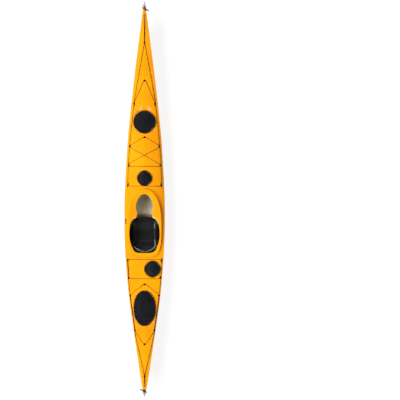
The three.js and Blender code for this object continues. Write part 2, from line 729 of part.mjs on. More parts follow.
function makeFitting(frame, barAlongBoat) {
  const profile = [
    [0, -FITTING_CUP_DEPTH],
    [FITTING_CUP_RADIUS, -FITTING_CUP_DEPTH],
    [FITTING_CUP_RADIUS, GAP],
    [FITTING_RADIUS, GAP],
    [FITTING_DISH_RADIUS, FITTING_FLANGE],
    [FITTING_THROAT_RADIUS, FITTING_THROAT_HEIGHT],
    [FITTING_DISH_FLOOR_RADIUS, -FITTING_DISH_DEPTH],
    [0, -FITTING_DISH_DEPTH],
  ].map(([radius, height]) => new THREE.Vector2(radius, height));
  const body = new THREE.LatheGeometry(profile, FITTING_SIDES, Math.PI / FITTING_SIDES).rotateX(Math.PI / 2);
  // The bar ends halfway down the flange's outer slope, on the flat of one of its sides.
  const reach = ((FITTING_RADIUS + FITTING_DISH_RADIUS) / 2) * Math.cos(Math.PI / FITTING_SIDES);
  const end = barAlongBoat ? point(0, reach, FITTING_BAR_HEIGHT) : point(reach, 0, FITTING_BAR_HEIGHT);
  const start = barAlongBoat ? point(0, -reach, FITTING_BAR_HEIGHT) : point(-reach, 0, FITTING_BAR_HEIGHT);
  const solid = solidOf(body).add(barBetween(start, end, FITTING_BAR_RADIUS, BAR_SIDES));
  return solidOf(geometryOf(solid).applyMatrix4(frame));
}

function fittingHole(frame) {
  const radius = FITTING_CUP_RADIUS + FITTING_HOLE_CLEARANCE;
  const depth = FITTING_CUP_DEPTH + LAMINATE;
  const turned = Math.PI / FITTING_SIDES;
  const geometry = new THREE.CylinderGeometry(radius, radius, 2 * depth, FITTING_SIDES, 1, false, turned);
  return solidOf(geometry.rotateX(Math.PI / 2).applyMatrix4(frame));
}

// A curve that passes through exactly the listed points, with mitred turns.
class Route extends THREE.Curve {
  constructor(points) {
    super();
    this.points = points;
  }
  getPoint(t) {
    const at = t * (this.points.length - 1);
    const i = Math.min(Math.floor(at + PLACE_TOLERANCE), this.points.length - 2);
    return this.points[i].clone().lerp(this.points[i + 1], at - i);
  }
  getPointAt(t) {
    return this.getPoint(t);
  }
  getTangent(t) {
    const i = Math.round(t * (this.points.length - 1));
    const before = this.points[Math.max(i - 1, 0)];
    const here = this.points[i];
    const after = this.points[Math.min(i + 1, this.points.length - 1)];
    const sum = point(0, 0, 0);
    if (i > 0) sum.add(here.clone().sub(before).normalize());
    if (i < this.points.length - 1) sum.add(after.clone().sub(here).normalize());
    return sum.normalize();
  }
  getTangentAt(t) {
    return this.getTangent(t);
  }
}

function tubeAlong(points, radius) {
  const section = new THREE.Shape();
  for (let i = 0; i < CORD_SIDES; i++) {
    const angle = (i / CORD_SIDES) * 2 * Math.PI;
    const x = radius * Math.cos(angle);
    const y = radius * Math.sin(angle);
    if (i === 0) section.moveTo(x, y);
    else section.lineTo(x, y);
  }
  const steps = points.length - 1;
  const settings = { steps, extrudePath: new Route(points), bevelEnabled: false };
  return solidOf(new THREE.ExtrudeGeometry(section, settings));
}

function ballAt(place, radius) {
  const ball = new THREE.SphereGeometry(radius, CORD_SIDES, BAR_SIDES);
  return solidOf(ball.translate(place.x, place.y, place.z));
}

// A deck cord: passes under fitting bars and lies on the deck between them.
class DeckCord {
  constructor(skin, frames) {
    this.skin = skin;
    this.frames = frames;
    this.points = [];
    this.hopNext = false;
  }
  place(frame, x, y, z) {
    return point(x, y, z).applyMatrix4(frame);
  }
  clearHeight(spot) {
    return deckHit(this.skin, spot.x, spot.y).point.z + CORD_RADIUS + CORD_CLEARANCE;
  }
  // Lifts the inner points of a run wherever a stretch between two of them dips into the deck.
  raiseOver(run) {
    for (let i = 1; i < run.length; i++) {
      const dips = Array.from({ length: CORD_CHECKS - 1 }, (_, step) => {
        const spot = run[i - 1].clone().lerp(run[i], (step + 1) / CORD_CHECKS);
        return this.clearHeight(spot) - spot.z;
      });
      const lift = Math.max(...dips, 0);
      if (i > 1) run[i - 1].z += lift;
      if (i < run.length - 1) run[i].z += lift;
    }
  }
  liftedTo(target) {
    const from = this.points[this.points.length - 1];
    const flat = Math.hypot(target.x - from.x, target.y - from.y);
    const sideways = Math.abs(target.x - from.x) > flat / 4;
    const pieces = Math.max(Math.ceil(flat / (sideways ? CORD_CROSS_STEP : CORD_RUN_STEP)), 1);
    const run = [from];
    for (let i = 1; i < pieces; i++) {
      const spot = from.clone().lerp(target, i / pieces);
      const nearMiddle = this.hopNext && Math.abs(spot.x) < CORD_HOP_REACH;
      spot.z = Math.max(spot.z, this.clearHeight(spot)) + (nearMiddle ? CORD_HOP : 0);
      run.push(spot);
    }
    run.push(target);
    this.raiseOver(run);
    this.points.push(...run.slice(1, -1));
    this.hopNext = false;
    this.points.push(target);
  }
  knot(name, x, y) {
    const spot = this.place(this.frames[name], x, y, CORD_PASS_HIGH);
    if (this.points.length) this.points.push(spot);
    else this.points = [spot];
    return this;
  }
  // Under one bar: the lane is the offset beside the bar's middle, the way is the side the cord leaves on.
  pass(name, lane, way, acrossBoat = false) {
    const frame = this.frames[name];
    const spots = [
      [-CORD_PASS_END, CORD_PASS_HIGH],
      [0, CORD_PASS_LOW],
      [CORD_PASS_END, CORD_PASS_HIGH],
    ].map(([along, height]) => {
      const side = lane * CORD_LANE;
      return acrossBoat
        ? this.place(frame, along * way, side, height)
        : this.place(frame, side, along * way, height);
    });
    if (this.points.length > 1) this.liftedTo(spots[0]);
    else this.points.push(spots[0]);
    this.points.push(...spots.slice(1));
    return this;
  }
  via(x, y) {
    this.liftedTo(point(x, y, deckHit(this.skin, x, y).point.z + CORD_RADIUS + CORD_CLEARANCE));
    return this;
  }
  hop() {
    this.hopNext = true;
    return this;
  }
  solid() {
    const ends = [this.points[0], this.points[this.points.length - 1]];
    return ends.reduce(
      (whole, end) => whole.add(ballAt(end, CORD_KNOT_RADIUS)),
      tubeAlong(this.points, CORD_RADIUS),
    );
  }
}

function makeHullAndDeck() {
  const outerHull = loft(bodyStations.map(hullRing));
  const innerHull = loft(hollowStations.map(hullHollowRing));
  const outerDeck = loft(bodyStations.map(deckRing));
  const innerDeck = loft(hollowStations.map(deckHollowRing));
  const smooth = new THREE.Mesh(geometryOf(outerDeck));
  Object.values(hatches).forEach((hatch) => {
    hatch.floor = findFloor(hatch, smooth);
  });
  const recesses = Object.values(hatches).map((hatch) => recessTool(hatch, 0));
  const pads = Object.values(hatches).map((hatch) => recessTool(hatch, LAMINATE));
  const shaped = recesses.reduce((solid, tool) => solid.subtract(tool), outerDeck);
  const hollow = pads.reduce((solid, tool) => solid.subtract(tool), innerDeck);
  const skin = new THREE.Mesh(geometryOf(shaped));
  return { hull: outerHull.subtract(innerHull), deck: shaped.subtract(hollow), skin };
}

function makeFittingFrames(skin) {
  const frames = {};
  centreFittingShares.forEach(([name, along]) => {
    frames[`centre_${name}`] = deckFrame(skin, 0, along * HALF_LENGTH, FITTING_RADIUS);
  });
  sideFittingShares.forEach(([along, across], i) => {
    const y = along * HALF_LENGTH;
    const x = across * halfBreadth(y);
    frames[`starboard_${i + 1}`] = deckFrame(skin, x, y, FITTING_RADIUS);
    frames[`port_${i + 1}`] = deckFrame(skin, -x, y, FITTING_RADIUS);
  });
  return frames;
}

function makeRim(hatch) {
  const floor = hatch.floor;
  const profile = [
    [0, floor - RIM_DEPTH],
    [0, floor + RIM_HEIGHT],
    [RIM_WALL, floor + RIM_HEIGHT],
    [RIM_WALL, floor + GAP + RIM_FLANGE_THICKNESS],
    [RIM_FLANGE, floor + GAP + RIM_FLANGE_THICKNESS],
    [RIM_FLANGE, floor + GAP],
    [RIM_WALL, floor + GAP],
    [RIM_WALL, floor - RIM_DEPTH],
  ];
  const rings = profile.map(([outwards, z]) => hatchRing(hatch, outwards - RIM_INSET, z));
  return loft(rings, true);
}

function makePodTub(hatch) {
  const floor = hatch.floor;
  const narrow = -hatch.wide + (hatch.wide - RIM_INSET) * podFloorShare;
  const middle = hatch.wide * podHubShare - hatch.wide;
  const layers = [
    [middle, floor - POD_DEPTH],
    [narrow, floor - POD_DEPTH],
    [RIM_WALL - RIM_INSET, floor - LAMINATE - LAMINATE],
    [RIM_WALL - RIM_INSET, floor + GAP],
    [RIM_FLANGE - RIM_INSET, floor + GAP],
    [RIM_FLANGE - RIM_INSET, floor + GAP + RIM_FLANGE_THICKNESS],
    [RIM_WALL - RIM_INSET, floor + GAP + RIM_FLANGE_THICKNESS],
    [RIM_WALL - RIM_INSET, floor + RIM_HEIGHT],
    [-RIM_INSET, floor + RIM_HEIGHT],
    [-RIM_INSET, floor - LAMINATE],
    [narrow - POD_WALL, floor - POD_DEPTH + POD_WALL],
    [middle, floor - POD_DEPTH + POD_WALL],
  ];
  return loft(layers.map(([growth, z]) => hatchRing(hatch, growth, z)));
}

function makeCover(hatch) {
  const floor = hatch.floor;
  const seat = floor + RIM_HEIGHT + GAP;
  const top = floor + COVER_RING_HEIGHT;
  const scaled = (share, z) =>
    ovalRing(hatch, hatch.wide * share, hatch.long * share, hatch.long * share, z, hatch.power);
  const grown = (inwards, z) => hatchRing(hatch, -inwards, z);
  const rings = [
    scaled(coverHubShare, seat),
    grown(RIM_INSET - RIM_WALL - GAP - GAP, seat),
    grown(RIM_INSET - RIM_WALL - GAP - GAP, floor + COVER_SKIRT),
    grown(0, floor + COVER_SKIRT),
    grown(0, top - EDGE_ROUND),
    grown(EDGE_ROUND, top),
    grown(COVER_RING, top),
    grown(COVER_RING + EDGE_ROUND, top - COVER_GROOVE_DEPTH),
    scaled(coverShoulderShare, top - COVER_GROOVE_DEPTH + COVER_DOME * shoulderRiseShare),
    scaled(coverHubShare, top - COVER_GROOVE_DEPTH + COVER_DOME),
  ];
  return loft(rings);
}

function makeBulkhead(y, cableHole) {
  const half = BULKHEAD_THICKNESS / 2;
  const low = point(-BEAM, y - half, -DEPTH);
  const high = point(BEAM, y + half, DEPTH + DEPTH);
  const plate = cavity.intersect(boxBetween(low, high));
  return cableHole ? plate.subtract(cableHole) : plate;
}

const cableRoute = () =>
  cableRouteShares.map(([along, across, up]) => point(across * HALF_BEAM, along * HALF_LENGTH, up * DEPTH));

function cableHoleAt(y) {
  const route = cableRoute();
  const i = route.findIndex((place) => place.y < y);
  const t = (y - route[i - 1].y) / (route[i].y - route[i - 1].y);
  const middle = route[i - 1].clone().lerp(route[i], t);
  const reach = point(0, OVERRUN, 0);
  return barBetween(middle.clone().sub(reach), middle.clone().add(reach), CABLE_HOLE_RADIUS, CORD_SIDES);
}

function makeEndCap(base, tip, holeY, holeZ) {
  const rings = endCapSectionShares.map((share) => wholeRing(base + (tip - base) * share, 0));
  const [port, starboard] = [-BEAM, BEAM].map((x) => point(x, holeY, holeZ));
  const hole = barBetween(port, starboard, END_HOLE_RADIUS, ROUND_SIDES);
  return loft(rings).subtract(hole);
}

function makeSeat() {
  const cheek = curveThrough(cheekShares);
  const cheekAlong = curveThrough(cheekAlongShares);
  const widthAlong = curveThrough(seatWidthShares);
  const ramp = curveThrough(seatRampShares);
  const surface = (i, j, sunk) => {
    const u = (2 * i) / SEAT_COLUMNS - 1;
    const v = j / SEAT_ROWS;
    const corner = SEAT_CORNER * Math.abs(u) ** SEAT_CORNER_POWER * (1 - v);
    const edge = Math.abs(u) ** SEAT_EDGE_POWER;
    const rise = SEAT_RAMP * ramp(v) * (1 - edge) + SEAT_CHEEK * cheekAlong(v) * cheek(Math.abs(u));
    const x = SEAT_HALF_WIDTH * widthAlong(v) * u - Math.sign(u) * sunk * edge;
    return point(x, SEAT_FRONT - corner - SEAT_LENGTH * v, SEAT_BASE + rise - sunk);
  };
  const rings = [];
  for (let j = 0; j <= SEAT_ROWS; j++) {
    const ring = [];
    for (let i = 0; i <= SEAT_COLUMNS; i++) ring.push(surface(i, j, 0));
    for (let i = SEAT_COLUMNS; i >= 0; i--) ring.push(surface(i, j, SEAT_THICKNESS).add(outwardsOf(i)));
    rings.push(ring);
  }
  const low = point(-SEAT_BLOCK_HALF_WIDTH, SEAT_BACK + SEAT_BLOCK_INSET, -LAMINATE);
  const high = point(SEAT_BLOCK_HALF_WIDTH, SEAT_FRONT - SEAT_BLOCK_INSET, SEAT_BASE - SEAT_THICKNESS / 2);
  return loftWithFlatCaps(rings, SEAT_COLUMNS).add(boxBetween(low, high).intersect(cavity));
}

// The seat's underside stands outside its cheeks.
function outwardsOf(i) {
  const u = (2 * i) / SEAT_COLUMNS - 1;
  return point(Math.sign(u) * Math.abs(u) ** SEAT_EDGE_POWER * 2 * SEAT_THICKNESS, 0, 0);
}

// Skins rings that are a strip there and back, closing both ends as ladders of narrow faces.
function loftWithFlatCaps(rings, across) {
  const count = rings[0].length;
  const points = rings.flat();
  const faces = [];
  for (let i = 0; i < rings.length - 1; i++) {
    for (let j = 0; j < count; j++) {
      const k = (j + 1) % count;
      const here = i * count;
      const there = here + count;
      faces.push(here + j, here + k, there + k, here + j, there + k, there + j);
    }
  }
  const ladder = (start, turned) => {
    for (let j = 0; j < across; j++) {
      const a = start + j;
      const b = start + j + 1;
      const c = start + count - 2 - j;
      const d = start + count - 1 - j;
      if (turned) faces.push(a, c, b, a, d, c);
      else faces.push(a, b, c, a, c, d);
    }
  };
  ladder(0, true);
  ladder((rings.length - 1) * count, false);
  const geometry = new THREE.BufferGeometry().setFromPoints(points);
  geometry.setIndex(faces);
  return solidOf(geometry);
}

function makeBackband() {
  const half = BACKBAND_THICKNESS / 2;
  const round = BACKBAND_THICKNESS / 3;
  const rings = [];
  for (let i = 0; i <= BACKBAND_COLUMNS; i++) {
    const u = (2 * i) / BACKBAND_COLUMNS - 1;
    const y = BACKBAND_Y - BACKBAND_BOW * (1 - u * u);
    const top = BACKBAND_TOP - BACKBAND_THICKNESS * u * u;
    const bottom = BACKBAND_BOTTOM + round * u * u;
    const section = [
      [half - round, bottom], [half, bottom + round], [half, top - round], [half - round, top],
      [round - half, top], [-half, top - round], [-half, bottom + round], [round - half, bottom],
    ];
    rings.push(section.map(([away, z]) => point(BACKBAND_HALF_WIDTH * u, y + away, z)));
  }
  const stub = (side) =>
    barBetween(
      point(side * BACKBAND_HALF_WIDTH * backbandStubShare, BACKBAND_Y, BACKBAND_HINGE_HEIGHT),
      point(side * BACKBAND_STUB_REACH, BACKBAND_Y, BACKBAND_HINGE_HEIGHT),
      BACKBAND_STUB_RADIUS,
      ROUND_SIDES,
    );
  return loft(rings).add(stub(1)).add(stub(-1));
}

// How far out the inside of the hull lies at a height.
function insideReach(y, z) {
  const side = hullSide(y, LAMINATE + GAP, sheerHeight(y));
  const i = side.findIndex(([, height]) => height > z);
  const t = (z - side[i - 1][1]) / (side[i][1] - side[i - 1][1]);
  return side[i - 1][0] + (side[i][0] - side[i - 1][0]) * t;
}

// The starboard foot rail's own frame: origin in the rail's middle, Y along the rail.
function railFrame() {
  const back = insideReach(RAIL_BACK, RAIL_HEIGHT_ABOVE_KEEL);
  const front = insideReach(RAIL_FRONT, RAIL_HEIGHT_ABOVE_KEEL);
  const offset = RAIL_STANDOFF + RAIL_THICKNESS / 2;
  const middle = point((back + front) / 2 - offset, (RAIL_BACK + RAIL_FRONT) / 2, RAIL_HEIGHT_ABOVE_KEEL);
  const turn = new THREE.Quaternion().setFromUnitVectors(
    point(0, 1, 0),
    point(front - back, RAIL_FRONT - RAIL_BACK, 0).normalize(),
  );
  return new THREE.Matrix4().compose(middle, turn, point(1, 1, 1));
}

const placed = (solid, frame) => solidOf(geometryOf(solid).applyMatrix4(frame));
const mirrored = (solid) => solidOf(geometryOf(solid).applyMatrix4(new THREE.Matrix4().makeScale(-1, 1, 1)));

function makeRail(frame) {
  const half = (RAIL_FRONT - RAIL_BACK) / 2;
  const thick = RAIL_THICKNESS / 2;
  const bar = boxBetween(point(-thick, -half, -RAIL_DEPTH / 2), point(thick, half, RAIL_DEPTH / 2));
  const lugs = [-1, 1].map((end) => {
    const from = end * (half - RAIL_LUG_INSET);
    const to = from - end * RAIL_LUG;
    return boxBetween(
      point(0, Math.min(from, to), -RAIL_DEPTH / 2),
      point(RAIL_STANDOFF + RAIL_LUG, Math.max(from, to), RAIL_DEPTH / 2),
    );
  });
  return placed(bar.add(lugs[0]).add(lugs[1]), frame).intersect(cavity);
}

function makePedal(frame) {
  const face = -RAIL_THICKNESS / 2 - GAP;
  const clampHalf = RAIL_DEPTH / 2 + RAIL_STANDOFF / 2;
  const clamp = boxBetween(
    point(face - PEDAL_CLAMP_THICKNESS, -PEDAL_CLAMP_LENGTH / 2, -clampHalf),
    point(face, PEDAL_CLAMP_LENGTH / 2, clampHalf),
  );
  const outer = face - PEDAL_CLAMP_THICKNESS + PEDAL_OVERLAP;
  const plate = boxBetween(
    point(outer - PEDAL_PLATE_WIDTH, -PEDAL_PLATE_THICKNESS / 2, -PEDAL_PLATE_HEIGHT * pedalLowShare),
    point(outer, PEDAL_PLATE_THICKNESS / 2, PEDAL_PLATE_HEIGHT * (1 - pedalLowShare)),
  );
  return placed(clamp.add(plate), frame);
}

// Places along the skeg box's length as shares of it, and of its height.
function skegPairs(table, inset, bottomDrop) {
  const front = SKEG_FRONT - inset;
  const back = SKEG_BACK + inset;
  const bottom = skegBottomShares.map((share) => {
    const y = front + (back - front) * share;
    return [y, keelHeight(y) - bottomDrop];
  });
  const top = table.map(([share, up]) => {
    const y = front + (back - front) * share;
    return [y, (SKEG_TOP - inset) * up];
  });
  return [...bottom, ...top.reverse()];
}

function makeSkegBox() {
  const outer = sideExtrusion(skegPairs(skegTopShares, 0, 0), SKEG_BOX_HALF_WIDTH);
  const inner = sideExtrusion(skegPairs(skegTopShares, SKEG_WALL, OVERRUN), SKEG_BOX_HALF_WIDTH - SKEG_WALL);
  const reach = SKEG_BOX_HALF_WIDTH + SKEG_WALL;
  return outer.subtract(inner).subtract(pivotBar(reach, SKEG_PIN_RADIUS + SKEG_PIN_CLEARANCE));
}

const skegPivot = () => {
  const y = SKEG_FRONT - SKEG_PIVOT_INSET;
  return point(0, y, keelHeight(y) + SKEG_PIVOT_RISE);
};

function pivotBar(reach, radius) {
  const { y, z } = skegPivot();
  return barBetween(point(-reach, y, z), point(reach, y, z), radius, ROUND_SIDES);
}

function makeSkegSlot() {
  return sideExtrusion(skegPairs(skegTopShares, -GAP, OVERRUN), SKEG_BOX_HALF_WIDTH + GAP);
}

function makeSkegBlade() {
  const { y: pivotY, z: pivotZ } = skegPivot();
  const low = bladeBottomShares.map((share) => {
    const y = SKEG_FRONT - SKEG_LENGTH * share;
    return [y, keelHeight(y) + SKEG_BLADE_CLEARANCE];
  });
  const high = bladeTopShares.map(([share, up]) => [SKEG_FRONT - SKEG_LENGTH * share, SKEG_TOP * up]);
  const plate = sideExtrusion([...low, ...high.reverse()], SKEG_BLADE_HALF_THICKNESS);
  const boss = barBetween(
    point(-SKEG_BLADE_HALF_THICKNESS, pivotY, pivotZ),
    point(SKEG_BLADE_HALF_THICKNESS, pivotY, pivotZ),
    SKEG_BOSS_RADIUS,
    ROUND_SIDES,
  );
  const pin = pivotBar(SKEG_BOX_HALF_WIDTH - SKEG_PIN_CLEARANCE, SKEG_PIN_RADIUS);
  return plate.add(boss).add(pin);
}

const sliderHalf = SLIDER_SLOT_LENGTH / 2;

function sliderBody(growth) {
  const wide = SLIDER_TRACK_HALF_WIDTH + growth;
  const long = sliderHalf + SLIDER_TRACK_MARGIN + growth;
  const low = point(-wide, -long, -SLIDER_TRACK_DEPTH - growth);
  return boxBetween(low, point(wide, long, GAP + FITTING_FLANGE));
}

function makeSliderTrack(frame) {
  const channel = boxBetween(
    point(-SLIDER_SLOT_HALF_WIDTH, -sliderHalf, SLIDER_FLOOR - SLIDER_TRACK_DEPTH),
    point(SLIDER_SLOT_HALF_WIDTH, sliderHalf, OVERRUN),
  );
  return placed(sliderBody(0).subtract(channel), frame);
}

// At rest the knob is at the front of its slot, the skeg up.
function makeSlider(frame) {
  const front = sliderHalf - SLIDER_STEM_CLEARANCE;
  const back = front - SLIDER_KNOB_LENGTH;
  const stemHalf = SLIDER_SLOT_HALF_WIDTH - SLIDER_STEM_CLEARANCE;
  const low = SLIDER_FLOOR - SLIDER_TRACK_DEPTH + SLIDER_STEM_CLEARANCE;
  const cap = GAP + FITTING_FLANGE + SLIDER_STEM_CLEARANCE;
  const stem = boxBetween(point(-stemHalf, back, low), point(stemHalf, front, cap + SLIDER_STEM_CLEARANCE));
  const knob = boxBetween(
    point(-SLIDER_KNOB_HALF_WIDTH, back, cap),
    point(SLIDER_KNOB_HALF_WIDTH, front, cap + SLIDER_KNOB_HEIGHT),
  );
  return placed(stem.add(knob), frame);
}

// One end's carrying toggle and the cord loop that holds it to the hole in the end.
function endToggle(hole, x, y) {
  const facing = Math.sign(y);
  const deckTop = sheerHeight(y) + GAP / 2 + SEAM_LIP + crownHeight(y);
  const middle = point(x, y, deckTop + TOGGLE_RADIUS + TOGGLE_SEAT);
  const yaw = THREE.MathUtils.degToRad(TOGGLE_YAW);
  const along = point(Math.cos(yaw), Math.sin(yaw), 0);
  const towards = point(-Math.sin(yaw) * facing, Math.cos(yaw) * facing, 0);
  const half = TOGGLE_LENGTH / 2;
  const ends = [-1, 1].map((end) => middle.clone().addScaledVector(along, end * half));
  const thick = barBetween(ends[0], ends[1], TOGGLE_RADIUS, ROUND_SIDES);
  const strandAt = (side, away) =>
    middle.clone().addScaledVector(along, side * TOGGLE_STRAND_OFFSET).addScaledVector(towards, away);
  const drill = (side) =>
    barBetween(strandAt(side, -BEAM), strandAt(side, BEAM), CORD_RADIUS + TOGGLE_CORD_CLEARANCE, CORD_SIDES);
  const bar = thick.subtract(drill(-1)).subtract(drill(1));
  const beside = halfBreadth(hole.y) + CORD_RADIUS + TOGGLE_KNOT_RADIUS / 2;
  const knot = middle.clone().addScaledVector(towards, -TOGGLE_RADIUS - TOGGLE_KNOT_RADIUS - CORD_CLEARANCE);
  const outer = beside + CORD_RADIUS;
  const strand = (side) => [
    point(side * (beside - CORD_CLEARANCE), hole.y, hole.z),
    point(side * outer, hole.y - facing * TOGGLE_STRAND_RISE, hole.z + TOGGLE_STRAND_RISE),
    point(side * outer, hole.y - facing * TOGGLE_STRAND_LEAD, deckTop + TOGGLE_STRAND_RISE),
    strandAt(side, TOGGLE_RADIUS + TOGGLE_STRAND_RISE),
    strandAt(side, -TOGGLE_RADIUS - CORD_RADIUS),
    knot.clone(),
  ];
  const route = [...strand(-1).reverse(), point(0, hole.y, hole.z), ...strand(1)];
  const cord = tubeAlong(route, CORD_RADIUS).add(ballAt(knot, TOGGLE_KNOT_RADIUS));
  return { bar, cord };
}

function addFittings(frames) {
  Object.entries(frames).forEach(([name, frame]) => {
    const acrossLine = ["centre_foredeck", "centre_front", "centre_back", "centre_hatch"].includes(name);
    addPiece(`${name}_fitting`, makeFitting(frame, acrossLine), blackPlastic);
  });
}

// The shock cords and lines, each one piece along its own way over the deck.
function addDeckCords(skin, frames) {
  const cord = () => new DeckCord(skin, frames);
  const reach = CORD_KNOT_REACH;
  const side = CORD_KNOT_SIDE;
  const bowV = cord().knot("port_1", side, -reach).pass("port_1", 1, 1)
    .pass("centre_foredeck", 0, 1, true)
    .pass("starboard_1", -1, -1).knot("starboard_1", -side, -reach);
  const frontBungee = cord().knot("port_3", side, reach).pass("port_3", 1, -1)
    .pass("starboard_3", -1, 1)
    .pass("port_2", 1, 1)
    .pass("centre_front", 0, 1, true)
    .pass("starboard_2", -1, -1)
    .hop().via(frontLoopEnd(frames).x, frontLoopEnd(frames).y).knot("port_3", side, reach);
  const podBungee = cord().knot("port_4", side, reach).pass("port_4", 1, -1)
    .pass("starboard_4", -1, 1).knot("starboard_4", -side, reach);
  const rearBungee = cord().knot("starboard_5", -side, -reach).pass("starboard_5", -1, 1)
    .pass("port_5", 1, -1)
    .pass("port_6", 1, -1)
    .pass("starboard_6", -1, 1).knot("starboard_6", -side, reach);
  const hatchBungee = cord().knot("centre_back", -reach, -side).pass("port_7", 1, -1)
    .pass("port_8", 1, -1)
    .pass("centre_hatch", 0, 1, true)
    .pass("starboard_8", -1, 1)
    .pass("starboard_7", -1, 1)
    .pass("centre_back", 0, -1, true).knot("centre_back", -reach, -side);
  const frontLine = cord().knot("starboard_4", side / 2, -reach).pass("starboard_4", 1, 1)
    .pass("starboard_3", 1, 1).pass("starboard_2", 1, 1).pass("starboard_1", 1, 1)
    .pass("centre_bow", 1, 1)
    .via(LINE_TURN_HALF_WIDTH, BOW_LINE_TURN_Y - LINE_TURN_HALF_WIDTH)
    .via(0, BOW_LINE_TURN_Y)
    .via(-LINE_TURN_HALF_WIDTH, BOW_LINE_TURN_Y - LINE_TURN_HALF_WIDTH)
    .pass("centre_bow", -1, -1)
    .pass("port_1", -1, -1).pass("port_2", -1, -1).pass("port_3", -1, -1)
    .pass("port_4", -1, -1).knot("port_4", -side / 2, -reach);
  const dayEdge = DAY_HATCH_X + DAY_HATCH_RADIUS + RECESS_MARGIN + DAY_LINE_CLEARANCE;
  const rearLine = cord().knot("starboard_5", side / 2, reach).pass("starboard_5", 1, -1)
    .via(dayEdge, DAY_HATCH_Y)
    .pass("starboard_6", 1, -1).pass("starboard_7", 1, -1).pass("starboard_8", 1, -1)
    .pass("centre_stern", 1, -1)
    .via(LINE_TURN_HALF_WIDTH, STERN_LINE_TURN_Y + LINE_TURN_HALF_WIDTH)
    .via(0, STERN_LINE_TURN_Y)
    .via(-LINE_TURN_HALF_WIDTH, STERN_LINE_TURN_Y + LINE_TURN_HALF_WIDTH)
    .pass("centre_stern", -1, 1)
    .pass("port_8", -1, 1).pass("port_7", -1, 1).pass("port_6", -1, 1)
    .pass("port_5", -1, 1).knot("port_5", -side / 2, reach);
  addPiece("bow_v_bungee", bowV.solid(), darkCord);
  addPiece("front_deck_bungee", frontBungee.solid(), darkCord);
  addPiece("pod_bungee", podBungee.solid(), darkCord);
  addPiece("rear_deck_bungee", rearBungee.solid(), darkCord);
  addPiece("rear_hatch_bungee", hatchBungee.solid(), darkCord);
  addPiece("front_deck_line", frontLine.solid(), darkCord);
  addPiece("rear_deck_line", rearLine.solid(), darkCord);
}

// Where the front loop of shock cord comes back beside its knot.
function frontLoopEnd(frames) {
  return point(FRONT_LOOP_SIDE, FRONT_LOOP_REACH, 0).applyMatrix4(frames.port_3);
}

function build() {
  const made = makeHullAndDeck();
  const frames = makeFittingFrames(made.skin);
  const slide = deckFrame(made.skin, SLIDER_X, SLIDER_Y, SLIDER_TRACK_HALF_WIDTH);
  const mouths = Object.values(hatches).map((hatch) => hatchMouth(hatch, RIM_WALL + GAP));
  const holes = Object.values(frames).map(fittingHole);
  const sliderHole = placed(sliderBody(GAP), slide);
  const cuts = [...mouths, ...holes, cockpitOpening(), sliderHole];
  const deck = cuts.reduce((solid, tool) => solid.subtract(tool), made.deck);
  addPiece("hull", made.hull.subtract(makeSkegSlot()).subtract(sliderHole), hullGelcoat);
  addPiece("deck", deck, yellowGelcoat);
  addPiece("coaming", makeCoaming(made.skin), yellowGelcoat);
  addPiece("bow_end_cap", makeEndCap(bodyFront + GAP, HALF_LENGTH, BOW_HOLE_Y, BOW_HOLE_Z), greyEnds);
  addPiece("stern_end_cap", makeEndCap(bodyBack - GAP, -HALF_LENGTH, STERN_HOLE_Y, STERN_HOLE_Z), greyEnds);
  addPiece("front_bulkhead", makeBulkhead(FRONT_BULKHEAD_Y), paleLaminate);
  addPiece("day_bulkhead", makeBulkhead(DAY_BULKHEAD_Y, cableHoleAt(DAY_BULKHEAD_Y)), paleLaminate);
  addPiece("rear_bulkhead", makeBulkhead(REAR_BULKHEAD_Y, cableHoleAt(REAR_BULKHEAD_Y)), paleLaminate);
  addPiece("front_hatch_rim", makeRim(hatches.front), blackPlastic);
  addPiece("day_hatch_rim", makeRim(hatches.day), blackPlastic);
  addPiece("rear_hatch_rim", makeRim(hatches.rear), blackPlastic);
  addPiece("pod_tub", makePodTub(hatches.pod), blackPlastic);
  addPiece("front_hatch_cover", makeCover(hatches.front), blackRubber);
  addPiece("pod_hatch_cover", makeCover(hatches.pod), blackRubber);
  addPiece("day_hatch_cover", makeCover(hatches.day), blackRubber);
  addPiece("rear_hatch_cover", makeCover(hatches.rear), blackRubber);
  addPiece("seat", makeSeat(), blackPlastic);
  addPiece("backband", makeBackband(), blackFabric);
  const rail = makeRail(railFrame());
  const pedal = makePedal(railFrame());
  addPiece("starboard_foot_rail", rail, aluminium);
  addPiece("port_foot_rail", mirrored(rail), aluminium);
  addPiece("starboard_foot_pedal", pedal, blackPlastic);
  addPiece("port_foot_pedal", mirrored(pedal), blackPlastic);
  addPiece("skeg_box", makeSkegBox(), paleLaminate);
  addPiece("skeg_blade", makeSkegBlade(), greyBlade);
  addPiece("skeg_track", makeSliderTrack(slide), blackPlastic);
  addPiece("skeg_slider", makeSlider(slide), blackPlastic);
  addPiece("skeg_cable", tubeAlong(cableRoute(), CABLE_RADIUS), blackPlastic);
  const bow = endToggle(point(0, BOW_HOLE_Y, BOW_HOLE_Z), BOW_TOGGLE_X, BOW_TOGGLE_Y);
  const stern = endToggle(point(0, STERN_HOLE_Y, STERN_HOLE_Z), STERN_TOGGLE_X, STERN_TOGGLE_Y);
  addPiece("bow_toggle", bow.bar, blackPlastic);
  addPiece("bow_toggle_cord", bow.cord, darkCord);
  addPiece("stern_toggle", stern.bar, blackPlastic);
  addPiece("stern_toggle_cord", stern.cord, darkCord);
  addFittings(frames);
  addDeckCords(made.skin, frames);
}

build();

export default kayak;
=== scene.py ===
import math

